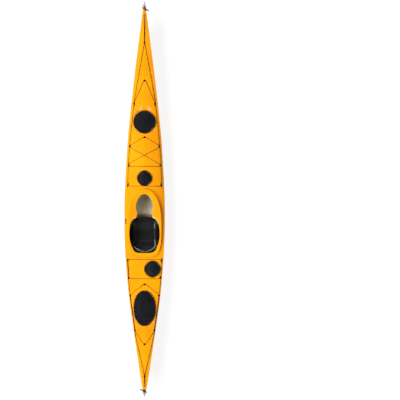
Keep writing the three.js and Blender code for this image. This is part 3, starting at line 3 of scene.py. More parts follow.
import bpy
import numpy as np
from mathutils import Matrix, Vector


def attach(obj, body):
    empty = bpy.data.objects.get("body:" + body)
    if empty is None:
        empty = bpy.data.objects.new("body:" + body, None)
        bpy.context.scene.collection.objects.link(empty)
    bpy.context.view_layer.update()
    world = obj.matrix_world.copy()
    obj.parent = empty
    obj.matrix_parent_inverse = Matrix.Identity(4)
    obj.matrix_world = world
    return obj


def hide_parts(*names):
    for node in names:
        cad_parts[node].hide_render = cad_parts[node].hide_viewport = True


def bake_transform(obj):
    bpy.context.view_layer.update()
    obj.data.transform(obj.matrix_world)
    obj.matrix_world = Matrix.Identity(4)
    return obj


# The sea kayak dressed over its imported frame. Every length is in millimetres until a mesh is made.
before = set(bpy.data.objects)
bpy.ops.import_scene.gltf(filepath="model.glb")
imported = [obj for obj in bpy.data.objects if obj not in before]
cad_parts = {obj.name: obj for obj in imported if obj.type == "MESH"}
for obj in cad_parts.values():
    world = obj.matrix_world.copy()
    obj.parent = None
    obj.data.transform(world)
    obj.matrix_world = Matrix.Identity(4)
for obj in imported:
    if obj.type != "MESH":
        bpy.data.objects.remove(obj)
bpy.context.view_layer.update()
MM = 0.001

# Sizes that the part's source names too.
HALF_LENGTH = 2705.0
HALF_BEAM = 278.0
DEPTH = 400.0
KEEL_HALF_WIDTH = 35.0
TIP_HALF_BREADTH = 4.0
LAMINATE = 4.0
SEAM_LIP = 6.0
CROWN = 80.0
GAP = 0.3
BODY_BACK = -HALF_LENGTH + 84.0
BODY_FRONT = HALF_LENGTH - 81.0
COAMING_FRONT = 139.0
COAMING_BACK = -794.0
COAMING_HALF_WIDTH = 231.0
FLANGE_WIDTH = 14.0
RISER = 5.0
BRACE_DROP = 16.0
RECESS_MARGIN = 6.0
RECESS_DEPTH = 4.0
RECESS_HEIGHT = 60.0
RECESS_FLARE = 12.0
RIM_INSET = 22.0
RIM_WALL = 4.0
RIM_HEIGHT = 17.0
RIM_DEPTH = 18.0
RIM_FLANGE = 16.0
RIM_PLATE = 3.3
COVER_HEIGHT = 25.0
COVER_SKIRT = 5.0
TUB_DEPTH = 130.0
TUB_WALL = 4.0
TUB_TAPER = 0.8
FITTING_RADIUS = 15.0
CUP_RADIUS = 13.0
CORD_RADIUS = 2.5
CORD_LANE = 3.4
PASS_END = 13.5
PASS_LOW = -4.4
PASS_HIGH = 6.2
KNOT_REACH = 26.0
KNOT_SIDE = 9.0
KNOT_HEIGHT = 5.6
SEAT_FRONT = -246.0
SEAT_LENGTH = 406.0
SEAT_BACK = SEAT_FRONT - SEAT_LENGTH
SEAT_HALF_WIDTH = 218.0
SEAT_BASE = 46.0
SEAT_THICKNESS = 5.0
SEAT_CHEEK = 178.0
SEAT_CORNER = 70.0
SEAT_RAMP = 45.0
BACKBAND_Y = SEAT_BACK + 4.0
BACKBAND_HALF_WIDTH = 150.0
BACKBAND_BOW = 72.0
BACKBAND_THICKNESS = 18.0
BACKBAND_BOTTOM = 150.0
BACKBAND_TOP = 256.0
BACKBAND_HINGE = 186.0
BACKBAND_REACH = 204.0
SKEG_FRONT = -1826.0
SKEG_LENGTH = 408.0
SKEG_TOP = 212.0
SKEG_BOX_HALF_WIDTH = 10.0
RAIL_FRONT = 700.0
RAIL_BACK = 260.0
RAIL_LEVEL = 120.0
SLIDER_X = -258.0
SLIDER_Y = -305.0
SLOT_LENGTH = 63.0
TOGGLE_LENGTH = 110.0
TOGGLE_RADIUS = 9.0
TOGGLE_YAW = math.radians(-24.0)

# Each end's toggle: the hole that its cord runs through, the grip's middle across and along, the way forward.
TOGGLES = {
    "bow": ((0.0, 2660.0, 393.0), (13.0, 2601.0), 1.0),
    "stern": ((0.0, -2676.0, 347.0), (-12.0, -2626.0), -1.0),
}

# How finely the nets of hull and deck are stepped, and how much of each end is stepped finely.
HULL_STEP = 34.0
HULL_END_STEP = 18.0
HULL_END = 500.0
HULL_LANES = 26
DECK_STEP = 30.0
DECK_FINE_STEP = 6.8
DECK_LANES = 81
DECK_EDGE_CROWDING = 0.2
HATCH_MARGIN = 24.0
FINE_FLARE = 60.0
FITTING_MARGIN = 17.0
COAMING_MARGIN = 5.0

# The visible edge of a recess: its lanes out over the lip, up the wall by share, and in over the floor.
RECESS_BORDER = 9.0
LIP_LANES = (4.0, 1.5, 0.4)
WALL_LANES = (1.0, 0.85, 0.5, 0.15, 0.0)
FOOT_LANE = 1.5
FOOT_ROUND = 1.5
LIP_ROUND = 2.0
RECESS_REACH = 80.0
WALL_START = 0.02
SLOT_HALF_WIDTH = 7.3
SLOT_HALF_LENGTH = 37.8
SLOT_CORNER = 4.3
SLIDER_REACH = 7.0

# Lids, fittings and cords as they are seen.
HATCH_SIDES = 96
LID_SLACK = 0.6
LID_LIP = 8.0
LID_SHOULDER = 12.0
LID_GROOVE = 15.0
LID_GROOVE_DEPTH = 4.0
LID_ROUND = 2.6
DOME_RISE = 6.6
PANEL_RISE = 0.9
BEAD_DEPTH = 1.1
TAB_TUCK = 5.0
TUB_CORNER = 8.0
TUB_SHOULDER = 8.0
TUB_ROUND = 1.3
FOOT_EDGE = 2.0
RIM_ROUND = 1.2
MIDDLE_SHARE = 0.05
CUP_SECTION = [
    (0.01, -10.5), (CUP_RADIUS, -10.5), (CUP_RADIUS, GAP), (FITTING_RADIUS, GAP), (FITTING_RADIUS - GAP, 1.4),
    (14.0, 2.1), (12.1, 0.9), (6.0, -8.0), (0.01, -8.0),
]
CUP_ROUND = 0.8
CUP_HOLE_GAP = 0.5
LENGTHWAYS = ("centre_foredeck", "centre_front", "centre_back", "centre_hatch")
BAR_REACH = 13.4
BAR_RADIUS = 1.6
BAR_SWELL = 0.5
BAR_HEIGHT = 2.2
CORD_CLEARANCE = 0.5
CORD_STEP = 14.0
HOP_REACH = 26.0
BACK_KNOT = (-KNOT_REACH / KNOT_SIDE, -KNOT_SIDE / KNOT_REACH)
CROSS_END = (27.0, 39.0, 0.0)
LINE_TURN = ((7.0, 0.0), (4.9, 4.5), (0.0, 7.0), (-4.9, 4.5), (-7.0, 0.0))
BOW_TURN_Y = 2533.0
STERN_TURN_Y = -2563.0
DAY_HATCH_PASS = (235.0, -959.0)
KNOT_RADIUS = 2.2
DECK_KNOT = 1.35
TOGGLE_KNOT = 1.7
CORD_SIDES = 10
UV_STEP = 10.0

# Seat, backband, foot rests and skeg as they are seen.
BLOCK_BACK = 203.0
BAND_MIDDLE = (BACKBAND_TOP + BACKBAND_BOTTOM) / 2
BAND_HALF = (BACKBAND_TOP - BACKBAND_BOTTOM) / 2
BAND_TAPER = 9.0
BAND_SAG = 3.0
BINDING_SHARE = 0.985
BINDING_RADIUS = 2.6
FLAP_HALF_WIDTH = 138.0
FLAP_HEM = 9.0
FLAP_LIFT = 1.4
FLAP_SLACK = 5.0
FLAP_WAVE = 1.2
FLAP_WAVE_REACH = 19.0
FLAP_RISE = 6.0
FLAP_THICKNESS = (0.0, 0.8, 1.2)
ARM_START = 108.0
ARM_END = 196.0
ARM_OFF = 1.0
ARM_FACE = 10.5
ARM_RISE = 14.0
ARM_BOW = 7.0
ARM_HALF_HEIGHT = 12.0
ARM_TAPER = 4.0
ARM_HALF_THICKNESS = 1.1
PIN_INSIDE = 190.0
PIN_RADIUS = 6.0
BOSS_X = 193.0
RAIL_INSET = 11.0
RAIL_HALF_LENGTH = 220.0
RAIL_HALF_DEPTH = 4.0
RAIL_ROUND = 0.9
RAIL_SECTION = [(4, 0), (4, 8), (-4, 8), (-4, 4), (-1, 4), (-1, -4), (-4, -4), (-4, -8), (4, -8), (4, -1)]
FOOT_PLACE = 188.0
FOOT_CLEARANCE = 1.2
FOOT_INSET = 2.0
STUD_PLACE = -2.2
STUD_STEP = 20.0
STUD_COUNT = 9
CARRIAGE_REACH = 4.5
PEDAL_GAP = 8.0
TREAD_START = -38.0
TREAD_STEP = 12.6
PEDAL_LIFT = 22.88
LEVER_PLACE = 9.0
BLADE_KEEL_GAP = 10.0
BLADE_HEEL_RISE = 12.0
BLADE_HALF_THICKNESS = 4.0
BLADE_LEAST = 6.0
BLADE_TIP = 8.0
BLADE_EDGE = 0.5
PIVOT_BACK = 30.0
PIVOT_UP = 26.0
TRACK_HALF = (7.0, SLOT_LENGTH / 2 + 6.0)
WELL_HALF = (3.5, SLOT_LENGTH / 2)
WELL_FLOOR = -9.0
TRACK_SCREW_GAP = 3.1
KNOB_BACK = 10.5
GRIP_START = -5.4
GRIP_STEP = 3.6
CABLE_RADIUS = 3.0
TOGGLE_CLEARANCE = 1.0
TOGGLE_TIP = 0.4
RING_DEPTH = 0.5
KNOT_BEHIND = 10.0
STRAND_GAP = 4.0
STRAND_TUCK = 2.0
STRAND_RISE = 5.0
STRAND_RUN = 15.0
STRAND_APART = 4.5

# Rounded plates: half width, half length, low and high side, corner, edge rounding, steps of a corner.
PLATES = {
    "hatch_tab": (11.0, 9.0, 6.5, 10.5, 6.0, 1.6, 10),
    "fitting_screw": (2.6, 2.6, -8.0, -6.6, 2.59, 0.5, 5),
    "seat_block": (58.0, 126.0, 4.6, SEAT_BASE - SEAT_THICKNESS - GAP, 14.0, 3.0, 10),
    "arm_boss": (11.0, 11.0, -2.4, 2.4, 10.9, 1.2, 8),
    "rail_foot": (3.0, 12.0, -8.0, 8.0, 3.0, 1.5, 10),
    "rail_stud": (1.6, 2.4, -5.4, 5.4, 1.0, 0.4, 3),
    "carriage": (4.4, 30.0, -11.3, 11.3, 2.5, 1.6, 10),
    "pedal_pad": (36.5, 51.0, -4.0, 4.0, 13.0, 2.2, 10),
    "front_tread": (27.0, 2.2, 3.4, 5.6, 2.0, 1.0, 4),
    "back_tread": (27.0, 2.2, -5.6, -3.4, 2.0, 1.0, 4),
    "pedal_lever": (3.0, 20.0, -16.0, -9.5, 2.0, 1.2, 5),
    "skeg_boss": (14.0, 14.0, -4.6, 4.6, 13.9, 1.2, 9),
    "skeg_pin": (4.0, 4.0, -9.7, 9.7, 3.95, 0.6, 6),
    "slide_track": (*TRACK_HALF, -11.0, 2.3, 4.0, 1.2, 10),
    "track_screw": (1.7, 1.7, 2.0, 2.9, 1.65, 0.4, 4),
    "knob_stem": (3.0, 10.0, -8.5, 3.4, 1.5, 0.5, 10),
    "knob_top": (5.0, 10.0, 2.9, 10.8, 3.5, 2.0, 10),
    "knob_grip": (4.2, 0.9, 10.3, 11.5, 0.8, 0.4, 4),
}

# Shares of the half length (or of the piece's own length), then of the size named after them.
OUTLINE = [
    (-1, 0), (-0.959, 0.101), (-0.898, 0.201), (-0.817, 0.322), (-0.735, 0.442), (-0.654, 0.554),
    (-0.532, 0.728), (-0.41, 0.855), (-0.288, 0.946), (-0.207, 0.98), (-0.126, 0.997), (-0.045, 0.996),
    (0.077, 0.958), (0.199, 0.895), (0.321, 0.815), (0.443, 0.696), (0.565, 0.565), (0.687, 0.424),
    (0.768, 0.322), (0.849, 0.219), (0.93, 0.116), (0.97, 0.062), (1, 0),
]
SHEER = [
    (-1, 0.875), (-0.8, 0.745), (-0.5, 0.64), (-0.2, 0.598), (0, 0.5875), (0.2, 0.597), (0.5, 0.655),
    (0.75, 0.79), (0.9, 0.9), (1, 0.985),
]
KEEL = [
    (-1, 0.8), (-0.97, 0.52), (-0.93, 0.3), (-0.85, 0.14), (-0.75, 0.06), (-0.6, 0.012), (-0.34, 0),
    (0.34, 0), (0.6, 0.018), (0.7, 0.07), (0.85, 0.22), (0.925, 0.4), (0.96, 0.56), (1, 0.9),
]
KEEL_WIDTH = [(-1, 0.06), (-0.8, 0.35), (-0.34, 1), (0.34, 1), (0.8, 0.35), (1, 0.06)]
VEE = [(-1, 0.85), (-0.75, 0.5), (-0.4, 0.16), (0, 0.12), (0.4, 0.18), (0.75, 0.55), (1, 0.85)]
CROWNS = [
    (-1, 0.08), (-0.7, 0.25), (-0.5, 0.35), (-0.3, 0.32), (-0.2, 0.5), (-0.06, 0.85), (0.06, 0.97),
    (0.15, 1), (0.3, 0.8), (0.4, 0.6), (0.6, 0.38), (0.85, 0.18), (1, 0.1),
]
LEDGE = [
    (-1, 0.24), (-0.83, 0.2), (-0.7, 0.175), (-0.53, 0.12), (-0.35, 0.092), (-0.2, 0.105), (0, 0.17),
    (0.09, 0.23), (0.16, 0.47), (0.22, 0.52), (0.33, 0.53), (0.43, 0.44), (0.55, 0.37),
    (0.7, 0.34), (1, 0.31),
]
RIM_LINE = [(-1, 0.728), (-0.5, 0.735), (0, 0.762), (0.5, 0.808), (1, 0.842)]
CHEEK = [(0, 0), (0.58, 0), (0.8, 0.17), (0.92, 0.48), (1, 1)]
CHEEK_ALONG = [(0, 0.1), (0.2, 0.4), (0.42, 1), (1, 1)]
SEAT_WIDTH = [(0, 0.74), (0.2, 0.88), (0.42, 1), (1, 1)]
SEAT_RAMPS = [(0, 0.45), (0.15, 0.36), (0.5, 0), (0.75, 0.05), (1, 1)]
BLADE_TOP = [(0.05, 0.2), (0.08, 0.3), (0.25, 0.75), (0.5, 0.9), (0.75, 0.84), (0.9, 0.6), (0.96, 0.34)]
BINDING_SIDE = [(0, -1), (0.38, 1), (0.5, 1), (0.88, -1), (1, -1)]
BINDING_ABOVE = [(0, 1), (0.38, 1), (0.5, -1), (0.88, -1), (1, 1)]
# The coaming's section, over the rim to the ledge's underside and then up behind the riser: share of the
# ledge, way out from the riser, share of the braces' drop, height from the rim.
RIM_SECTION = [
    (0, 19, 0, -3), (0, 18.1, 0, -0.9), (0, 16, 0, 0), (0, 11, 0, 0.4), (0, 5, 0, -0.2), (0, 0, 0, -1.2),
    (0.5, 0, 0.55, -0.8), (1, 2.5, 1, 0), (1, 0.7, 1, -0.7), (1, 0, 1, -2.2), (1, 0.8, 1, -3.6),
    (1, 2.5, 1, -4), (0.5, 0, 0.55, -4.8), (0, -0.6, 0, -5.2), (0, 0, 0, -6.5),
]
FLANGE_SECTION = [(0, 5, 0, -6), (0, 5.8, 0, -4.4), (0, 8, 0, -4), (0, 16, 0, -4), (0, 18.1, 0, -3.8)]
CENTRE_FITTINGS = [
    ("bow", 0.794), ("foredeck", 0.602), ("front", 0.314), ("back", -0.432),
    ("hatch", -0.736), ("stern", -0.898),
]
SIDE_FITTINGS = [
    (0.485, 0.79), (0.268, 0.85), (0.1715, 0.86), (0.071, 0.857),
    (-0.311, 0.897), (-0.399, 0.905), (-0.489, 0.908), (-0.664, 0.896),
]
# The skeg cable's way: shares of the half length, of the half beam and of the depth.
CABLE = [
    (-0.1305, -0.928, 0.583), (-0.145, -0.915, 0.565), (-0.166, -0.88, 0.535), (-0.2366, -0.85, 0.515),
    (-0.3024, -0.8, 0.51), (-0.3623, -0.75, 0.51), (-0.4259, -0.68, 0.51), (-0.5, -0.58, 0.515),
    (-0.645, -0.42, 0.53), (-0.688, -0.2, 0.555), (-0.715, -0.05, 0.57), (-0.7333, -0.008, 0.553),
]
# Place across, along; half width, half length; forward flare of its recess; power of its outline.
HATCHES = {
    "front": (0.0, 1063.065, 153.0, 153.0, 150.0, 2.0),
    "pod": (0.0, 287.0, 101.0, 101.0, RECESS_FLARE, 2.0),
    "day": (111.0, -959.0, 108.0, 108.0, RECESS_FLARE, 2.0),
    "rear": (0.0, -1495.865, 149.0, 236.0, RECESS_FLARE, 2.2),
}


def curve_through(table):
    """A cubic between each two entries; its slope at an entry is the harmonic mean of both sides' slopes."""
    xs, ys = np.array(table, float).T
    slopes = np.diff(ys) / np.diff(xs)
    before, after = slopes[:-1], slopes[1:]
    turning = before * after <= 0
    mean = np.where(turning, 0.0, 2 * before * after / np.where(turning, 1.0, before + after))
    tangents = np.concatenate([slopes[:1], mean, slopes[-1:]])

    def value(at):
        x = np.clip(np.asarray(at, float), xs[0], xs[-1])
        i = np.clip(np.searchsorted(xs, x, side="left") - 1, 0, len(xs) - 2)
        span = xs[i + 1] - xs[i]
        t = (x - xs[i]) / span
        rise = (3 - 2 * t) * t * t
        lead = t * (1 - t) ** 2 * span
        trail = t * t * (t - 1) * span
        return ys[i] * (1 - rise) + ys[i + 1] * rise + tangents[i] * lead + tangents[i + 1] * trail

    return value


def along_boat(table, size):
    """A size that changes along the boat as a table of shares says."""
    line = curve_through(table)
    return lambda y: size * line(y / HALF_LENGTH)


sheer, keel, crown = along_boat(SHEER, DEPTH), along_boat(KEEL, DEPTH), along_boat(CROWNS, CROWN)
outline, vee_share = along_boat(OUTLINE, HALF_BEAM), along_boat(VEE, 1)
flat_keel = along_boat(KEEL_WIDTH, KEEL_HALF_WIDTH)


def half_breadth(y):
    return np.maximum(outline(y), TIP_HALF_BREADTH)


def smooth_deck(x, y):
    """Sheer plus the seam's lip plus the crown times 3/4 of a round arch and 1/4 of a roof."""
    u = np.clip(np.abs(x) / half_breadth(y), 0, 1)
    arch = 0.75 * np.maximum(1 - u * u, 0) ** 0.8 + 0.25 * (1 - u)
    return sheer(y) + GAP / 2 + SEAM_LIP + crown(y) * arch


def turns(count):
    """Evenly spaced angles once round."""
    return np.arange(count) / count * 2 * np.pi


def signed_power(value, power):
    return np.sign(value) * np.abs(value) ** power


def hatch_ring(hatch, growth, angles, forward_growth=None):
    """A superellipse round the hatch's middle, its half widths grown by a length, or by another forward."""
    x, y, wide, long, _, power = HATCHES[hatch]
    c, s = np.cos(angles), np.sin(angles)
    stretch = growth if forward_growth is None else np.where(s > 0, forward_growth, growth)
    across = signed_power(c, 2 / power) * (wide + growth)
    along = signed_power(s, 2 / power) * (long + stretch)
    return np.stack([x + across, y + along], -1)


# The recess floor lies just under the lowest deck round the hatch.
FLOOR_PLACES = turns(18)
FLOORS = {
    hatch: float(smooth_deck(*hatch_ring(hatch, RECESS_MARGIN, FLOOR_PLACES).T).min()) - RECESS_DEPTH
    for hatch in HATCHES
}


def recess_ring(hatch, share, angles):
    """The outline of a recess a share of its wall's height up, where the forward side may flare further."""
    forward = RECESS_MARGIN + HATCHES[hatch][4] * share
    return hatch_ring(hatch, RECESS_MARGIN + RECESS_FLARE * share, angles, forward)


def halved(low, high, short):
    """The value between two where a test stops holding, found by halving."""
    for _ in range(24):
        middle = (low + high) / 2
        is_short = short(middle)
        low, high = np.where(is_short, middle, low), np.where(is_short, high, middle)
    return (low + high) / 2


def recess_lip(hatch, angles):
    """Where the recess's wall comes out through the smooth deck."""
    def buried(share):
        return FLOORS[hatch] + RECESS_HEIGHT * share < smooth_deck(*recess_ring(hatch, share, angles).T)

    return recess_ring(hatch, halved(np.zeros_like(angles), np.ones_like(angles), buried), angles)


def recess_share(hatch, x, y):
    """How far up the recess's flared wall a place lies: 0 at the floor's edge, 1 at the wall's top."""
    middle_x, middle_y, wide, long, flare, power = HATCHES[hatch]
    across, along = np.abs(x - middle_x), y - middle_y
    forward = np.where(along > 0, flare, RECESS_FLARE)

    def outside(share):
        reach = (across / (wide + RECESS_MARGIN + RECESS_FLARE * share)) ** power
        return reach + (np.abs(along) / (long + RECESS_MARGIN + forward * share)) ** power > 1

    return halved(np.zeros_like(across), np.full_like(across, 3.0), outside)


def soft_low(a, b, radius):
    """The lower of two heights, blended over a radius where they cross, as gelcoat rounds a moulded edge."""
    h = np.clip(0.5 + (b - a) / (2 * radius), 0, 1)
    return b * (1 - h) + a * h - radius * h * (1 - h)


def deck(x, y):
    """The smooth deck, lowered where a hatch's recess with its flared wall lies under it."""
    x, y = np.broadcast_arrays(np.asarray(x, float), np.asarray(y, float))
    z = smooth_deck(x, y)
    for hatch, (middle_x, middle_y, wide, long, flare, _) in HATCHES.items():
        near = (np.abs(x - middle_x) < wide + RECESS_REACH) & (y > middle_y - long - RECESS_REACH)
        near &= y < middle_y + long + flare + RECESS_REACH
        if near.any():
            share = recess_share(hatch, x[near], y[near])
            floor = FLOORS[hatch]
            rise = floor + RECESS_HEIGHT * (share * (1 + WALL_START) - WALL_START)
            z = z.copy()
            z[near] = soft_low(z[near], -soft_low(-rise, -floor, FOOT_ROUND), LIP_ROUND)
    return z


def hull_side(y, inset, top, steps):
    """Across grows with a power of the sine of an angle; up blends that straight vee with a round bilge."""
    angle = np.linspace(0, 1, steps)[None, :] * np.pi / 2
    y = y[:, None]
    breadth = half_breadth(y) - inset
    flat = np.minimum(flat_keel(y), half_breadth(y) / 2) * breadth / half_breadth(y)
    vee = vee_share(y)
    across = np.sin(angle) ** 0.75
    up = vee * across + (1 - vee) * (1 - np.cos(angle))
    low = keel(y) + inset
    return flat + (breadth - flat) * across, low + (top[:, None] - low) * up


def outwards(points, faces):
    """The same skin, its faces turned round if the signed volume inside them is below zero."""
    p = points - points.mean(0)
    volume = sum(
        np.einsum("ij,ij->", p[group[:, 0]], np.cross(p[group[:, k]], p[group[:, k + 1]]))
        for group in faces for k in range(1, group.shape[1] - 1)
    )
    return points, [group[:, ::-1] for group in faces] if volume < 0 else faces


def facing_up(points, quads):
    """The same net, turned round if its first quad faces down."""
    a, b, c = points[quads[0, :3]]
    return quads[:, ::-1] if np.cross(b - a, c - a)[2] < 0 else quads


def joined(*parts):
    """Several skins as one list of points and faces."""
    starts = np.cumsum([0] + [len(points) for points, _ in parts])
    faces = [group + start for (_, groups), start in zip(parts, starts) for group in groups]
    return np.concatenate([points for points, _ in parts]), faces


def face_count(part):
    return sum(len(group) for group in part[1])


def two_looks(first, second):
    """Two lists of skins joined, and for every face the number of its list's material."""
    index = np.repeat([0, 1], [sum(map(face_count, first)), sum(map(face_count, second))])
    return joined(*first, *second), index


def moved(part, x=0.0, y=0.0, z=0.0):
    return part[0] + np.array([x, y, z]), part[1]


def mirrored(part):
    points, faces = part
    return points * np.array([-1.0, 1, 1]), [group[:, ::-1] for group in faces]


def placed(part, origin, across, along, up):
    """A part moved so that its own axes lie along three directions from an origin."""
    points, faces = part
    return outwards(origin + points[:, :1] * across + points[:, 1:2] * along + points[:, 2:] * up, faces)


def grid(rows, columns, wrap_rows=False, wrap_columns=False):
    """Quads of a net whose points are counted row by row."""
    i = np.arange(rows if wrap_rows else rows - 1)[:, None]
    j = np.arange(columns if wrap_columns else columns - 1)[None, :]
    k, m = (i + 1) % rows, (j + 1) % columns
    corners = [i * columns + j, i * columns + m, k * columns + m, k * columns + j]
    return np.stack([np.broadcast_to(c, (len(i), j.shape[1])) for c in corners], -1).reshape(-1, 4)


def capped(rings):
    """A skin through rings of equal counts (rows of points), closed at each end by a fan to its middle."""
    rows, columns = rings.shape[:2]
    points = np.concatenate([rings.reshape(-1, 3), [rings[0].mean(0), rings[-1].mean(0)]])
    j = np.arange(columns)
    k = (j + 1) % columns
    n = rows * columns
    fan = np.concatenate([
        np.stack([np.full(columns, n), k, j], -1),
        np.stack([np.full(columns, n + 1), n - columns + j, n - columns + k], -1),
    ])
    return outwards(points, [grid(rows, columns, wrap_columns=True), fan])


def hooped(rings):
    """A skin through rings that runs round from the last ring to the first."""
    return outwards(rings.reshape(-1, 3), [grid(*rings.shape[:2], True, True)])


def open_sides(quads, count):
    """The sides that one quad alone has, in that quad's own order."""
    sides = np.concatenate([quads[:, [k, (k + 1) % 4]] for k in range(4)])
    key = np.sort(sides, 1)
    _, first, uses = np.unique(key[:, 0] * count + key[:, 1], return_index=True, return_counts=True)
    return sides[first[uses == 1]]


def walled(outer, inner, quads):
    """A shell: an outer net, the inner net turned round, and a wall along each side that one quad has."""
    n = len(outer)
    a, b = open_sides(quads, n).T
    return np.concatenate([outer, inner]), [quads, quads[:, ::-1] + n, np.stack([b, a, a + n, b + n], -1)]


def used_only(points, faces):
    """Drops the points that no face uses."""
    used = np.unique(np.concatenate([g.ravel() for g in faces]))
    place = np.full(len(points), -1)
    place[used] = np.arange(len(used))
    return points[used], [place[g] for g in faces]


def make(name, part, materials, body, node=None, sharp=40, index=None, uv=None):
    """A named piece from points in millimetres and faces, riding on a body and standing for a CAD node."""
    points, faces = part
    mesh = bpy.data.meshes.new(name)
    mesh.vertices.add(len(points))
    mesh.vertices.foreach_set("co", (points * MM).astype(np.float32).ravel())
    corners = np.concatenate([g.ravel() for g in faces])
    counts = np.concatenate([np.full(len(g), g.shape[1]) for g in faces])
    mesh.loops.add(len(corners))
    mesh.loops.foreach_set("vertex_index", corners.astype(np.int32))
    mesh.polygons.add(len(counts))
    mesh.polygons.foreach_set("loop_start", (np.cumsum(counts) - counts).astype(np.int32))
    mesh.polygons.foreach_set("loop_total", counts.astype(np.int32))
    for material in materials:
        mesh.materials.append(material)
    if index is not None:
        mesh.polygons.foreach_set("material_index", index.astype(np.int32))
    if uv is not None:
        layer = mesh.uv_layers.new(name="UVMap")
        layer.data.foreach_set("uv", uv[corners].astype(np.float32).ravel())
    mesh.update(calc_edges=True)
    mesh.validate()
    mesh.shade_smooth()
    mesh.set_sharp_from_angle(angle=math.radians(sharp))
    piece = bpy.data.objects.new(name, mesh)
    bpy.context.scene.collection.objects.link(piece)
    if body:
        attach(piece, body)
    if node:
        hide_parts(node)
    return piece


def rounded(profile, radius, steps=4):
    """A profile of (out, up) pairs, each inner corner turned on a curve of a radius, or of half a side."""
    profile = np.array(profile, float)
    result = [profile[:1]]
    t = np.linspace(0, 1, steps)[:, None]
    for before, here, after in zip(profile[:-2], profile[1:-1], profile[2:]):
        a, b = before - here, after - here
        long_a, long_b = np.linalg.norm(a), np.linalg.norm(b)
        cut = min(radius, long_a * 0.45, long_b * 0.45)
        start, end = here + a / long_a * cut, here + b / long_b * cut
        result.append((1 - t) ** 2 * start + 2 * t * (1 - t) * here + t * t * end)
    return np.concatenate([*result, profile[-1:]])


def lathe(profile, sides):
    """A profile of (radius, height) pairs turned about the upright."""
    r, z = np.array(profile, float).T
    x, y = r[:, None] * np.cos(turns(sides)), r[:, None] * np.sin(turns(sides))
    return np.stack([x, y, np.broadcast_to(z[:, None], x.shape)], -1)


def hoops(path, a, b, radius, sides):
    """A circle about each place of a path, in the plane of two directions there."""
    angles = turns(sides)[:, None]
    return path[:, None] + radius * (np.cos(angles) * a[:, None] + np.sin(angles) * b[:, None])


def tube(path, radius, sides=CORD_SIDES):
    """A circle carried along a path of places, its frame turned as little as possible at each."""
    path = np.asarray(path, float)
    way = np.gradient(path, axis=0)
    way /= np.linalg.norm(way, axis=1)[:, None]
    side = np.cross(way[0], [0.0, 0.0, 1.0])
    frames = []
    for w in way:
        side = side - w * (side @ w)
        side /= np.linalg.norm(side)
        frames.append(side)
    a = np.array(frames)
    radius = np.broadcast_to(np.asarray(radius, float), (len(path),))[:, None, None]
    return capped(hoops(path, a, np.cross(way, a), radius, sides))


def run_along(route):
    """The length run up to each place of a route."""
    return np.concatenate([[0], np.cumsum(np.linalg.norm(np.diff(route, axis=0), axis=1))])


def eased(path, rounds):
    """The path with each place averaged with its neighbours, a few times over, its ends held."""
    for _ in range(rounds):
        path[1:-1] = 0.25 * path[:-2] + 0.5 * path[1:-1] + 0.25 * path[2:]
    return path


def stepped(route, count):
    """A route as evenly spaced places, its corners eased."""
    run = run_along(route)
    at = np.linspace(0, run[-1], count)
    return eased(np.stack([np.interp(at, run, line) for line in route.T], -1), 3)


def tube_uv(path, sides, radius):
    """Round the cord and along it, in steps of its braid: for every ring point and the two end middles."""
    run = run_along(path)
    turn = np.minimum(np.arange(sides), sides - np.arange(sides)) / sides * 2 * np.pi * radius
    uv = np.stack(np.broadcast_arrays(turn[None, :], run[:, None]), -1).reshape(-1, 2)
    return np.concatenate([uv, [[0, 0], [0, run[-1]]]]) / UV_STEP


def plate(name, half_width=None):
    """A rounded oblong outline carried up from low to high, drawn in along an arc at each edge."""
    half_x, half_y, low, high, corner, edge, sides = PLATES[name]
    half_x = half_width or half_x
    angle = np.linspace(0, np.pi / 2, sides)
    quarter = np.stack([np.cos(angle), np.sin(angle)], -1) * corner
    arcs = []
    for sx, sy in ((1, 1), (-1, 1), (-1, -1), (1, -1)):
        arc = quarter if sx * sy > 0 else quarter[::-1]
        arcs.append(arc * [sx, sy] + np.array([sx * (half_x - corner), sy * (half_y - corner)]))
    ring = np.concatenate(arcs)
    bend = np.linspace(0, np.pi / 2, 4)
    drawn, lift = edge * (1 - np.cos(bend)), edge * (1 - np.sin(bend))
    levels = [*zip(drawn[::-1], low + lift[::-1]), *zip(drawn, high - lift)]
    return capped(np.array([
        np.column_stack([ring * (1 - d / np.array([half_x, half_y])), np.full(len(ring), z)])
        for d, z in levels
    ]))


NOISE, BANDS, CELLS = "ShaderNodeTexNoise", "ShaderNodeTexWave", "ShaderNodeTexVoronoi"
USUAL = {NOISE: {"Detail": 3.0, "Roughness": 0.55}, BANDS: {}, CELLS: {}}


def linear(colour):
    """An sRGB hex value as linear red, green, blue and full alpha."""
    c = np.array([int(colour[i:i + 2], 16) for i in (1, 3, 5)]) / 255
    c = np.where(c <= 0.04045, c / 12.92, ((c + 0.055) / 1.055) ** 2.4)
    return (*c.tolist(), 1.0)


def add(block, kind, settings=None, values=None, links=None):
    """Adds one node with its settings, its sockets' own values and its links from other nodes' sockets."""
    tree = block.node_tree
    node = tree.nodes.new(kind)
    for key, value in (settings or {}).items():
        setattr(node, key, value)
    for key, value in (values or {}).items():
        node.inputs[key].default_value = value
    for key, socket in (links or {}).items():
        tree.links.new(socket, node.inputs[key])
    return node


def cleared(block):
    """A new material or world, ready for its own nodes."""
    block.use_nodes = True
    block.node_tree.nodes.clear()
    return block


def pattern(m, kind, scale, settings=None, source="Object", mapping=None, **values):
    """A texture's factor, with features per metre of its coordinates, which may be turned first."""
    where = add(m, "ShaderNodeTexCoord").outputs[source]
    if mapping:
        where = add(m, "ShaderNodeMapping", values=mapping, links={"Vector": where}).outputs[0]
    node = add(m, kind, settings, {**USUAL[kind], "Scale": scale, **values}, {"Vector": where})
    return node.outputs["Distance" if kind == CELLS else "Fac"]


def crossed(m, operation, first, second):
    """Two patterns joined by one sum."""
    return add(m, "ShaderNodeMath", {"operation": operation}, links={0: first, 1: second}).outputs[0]


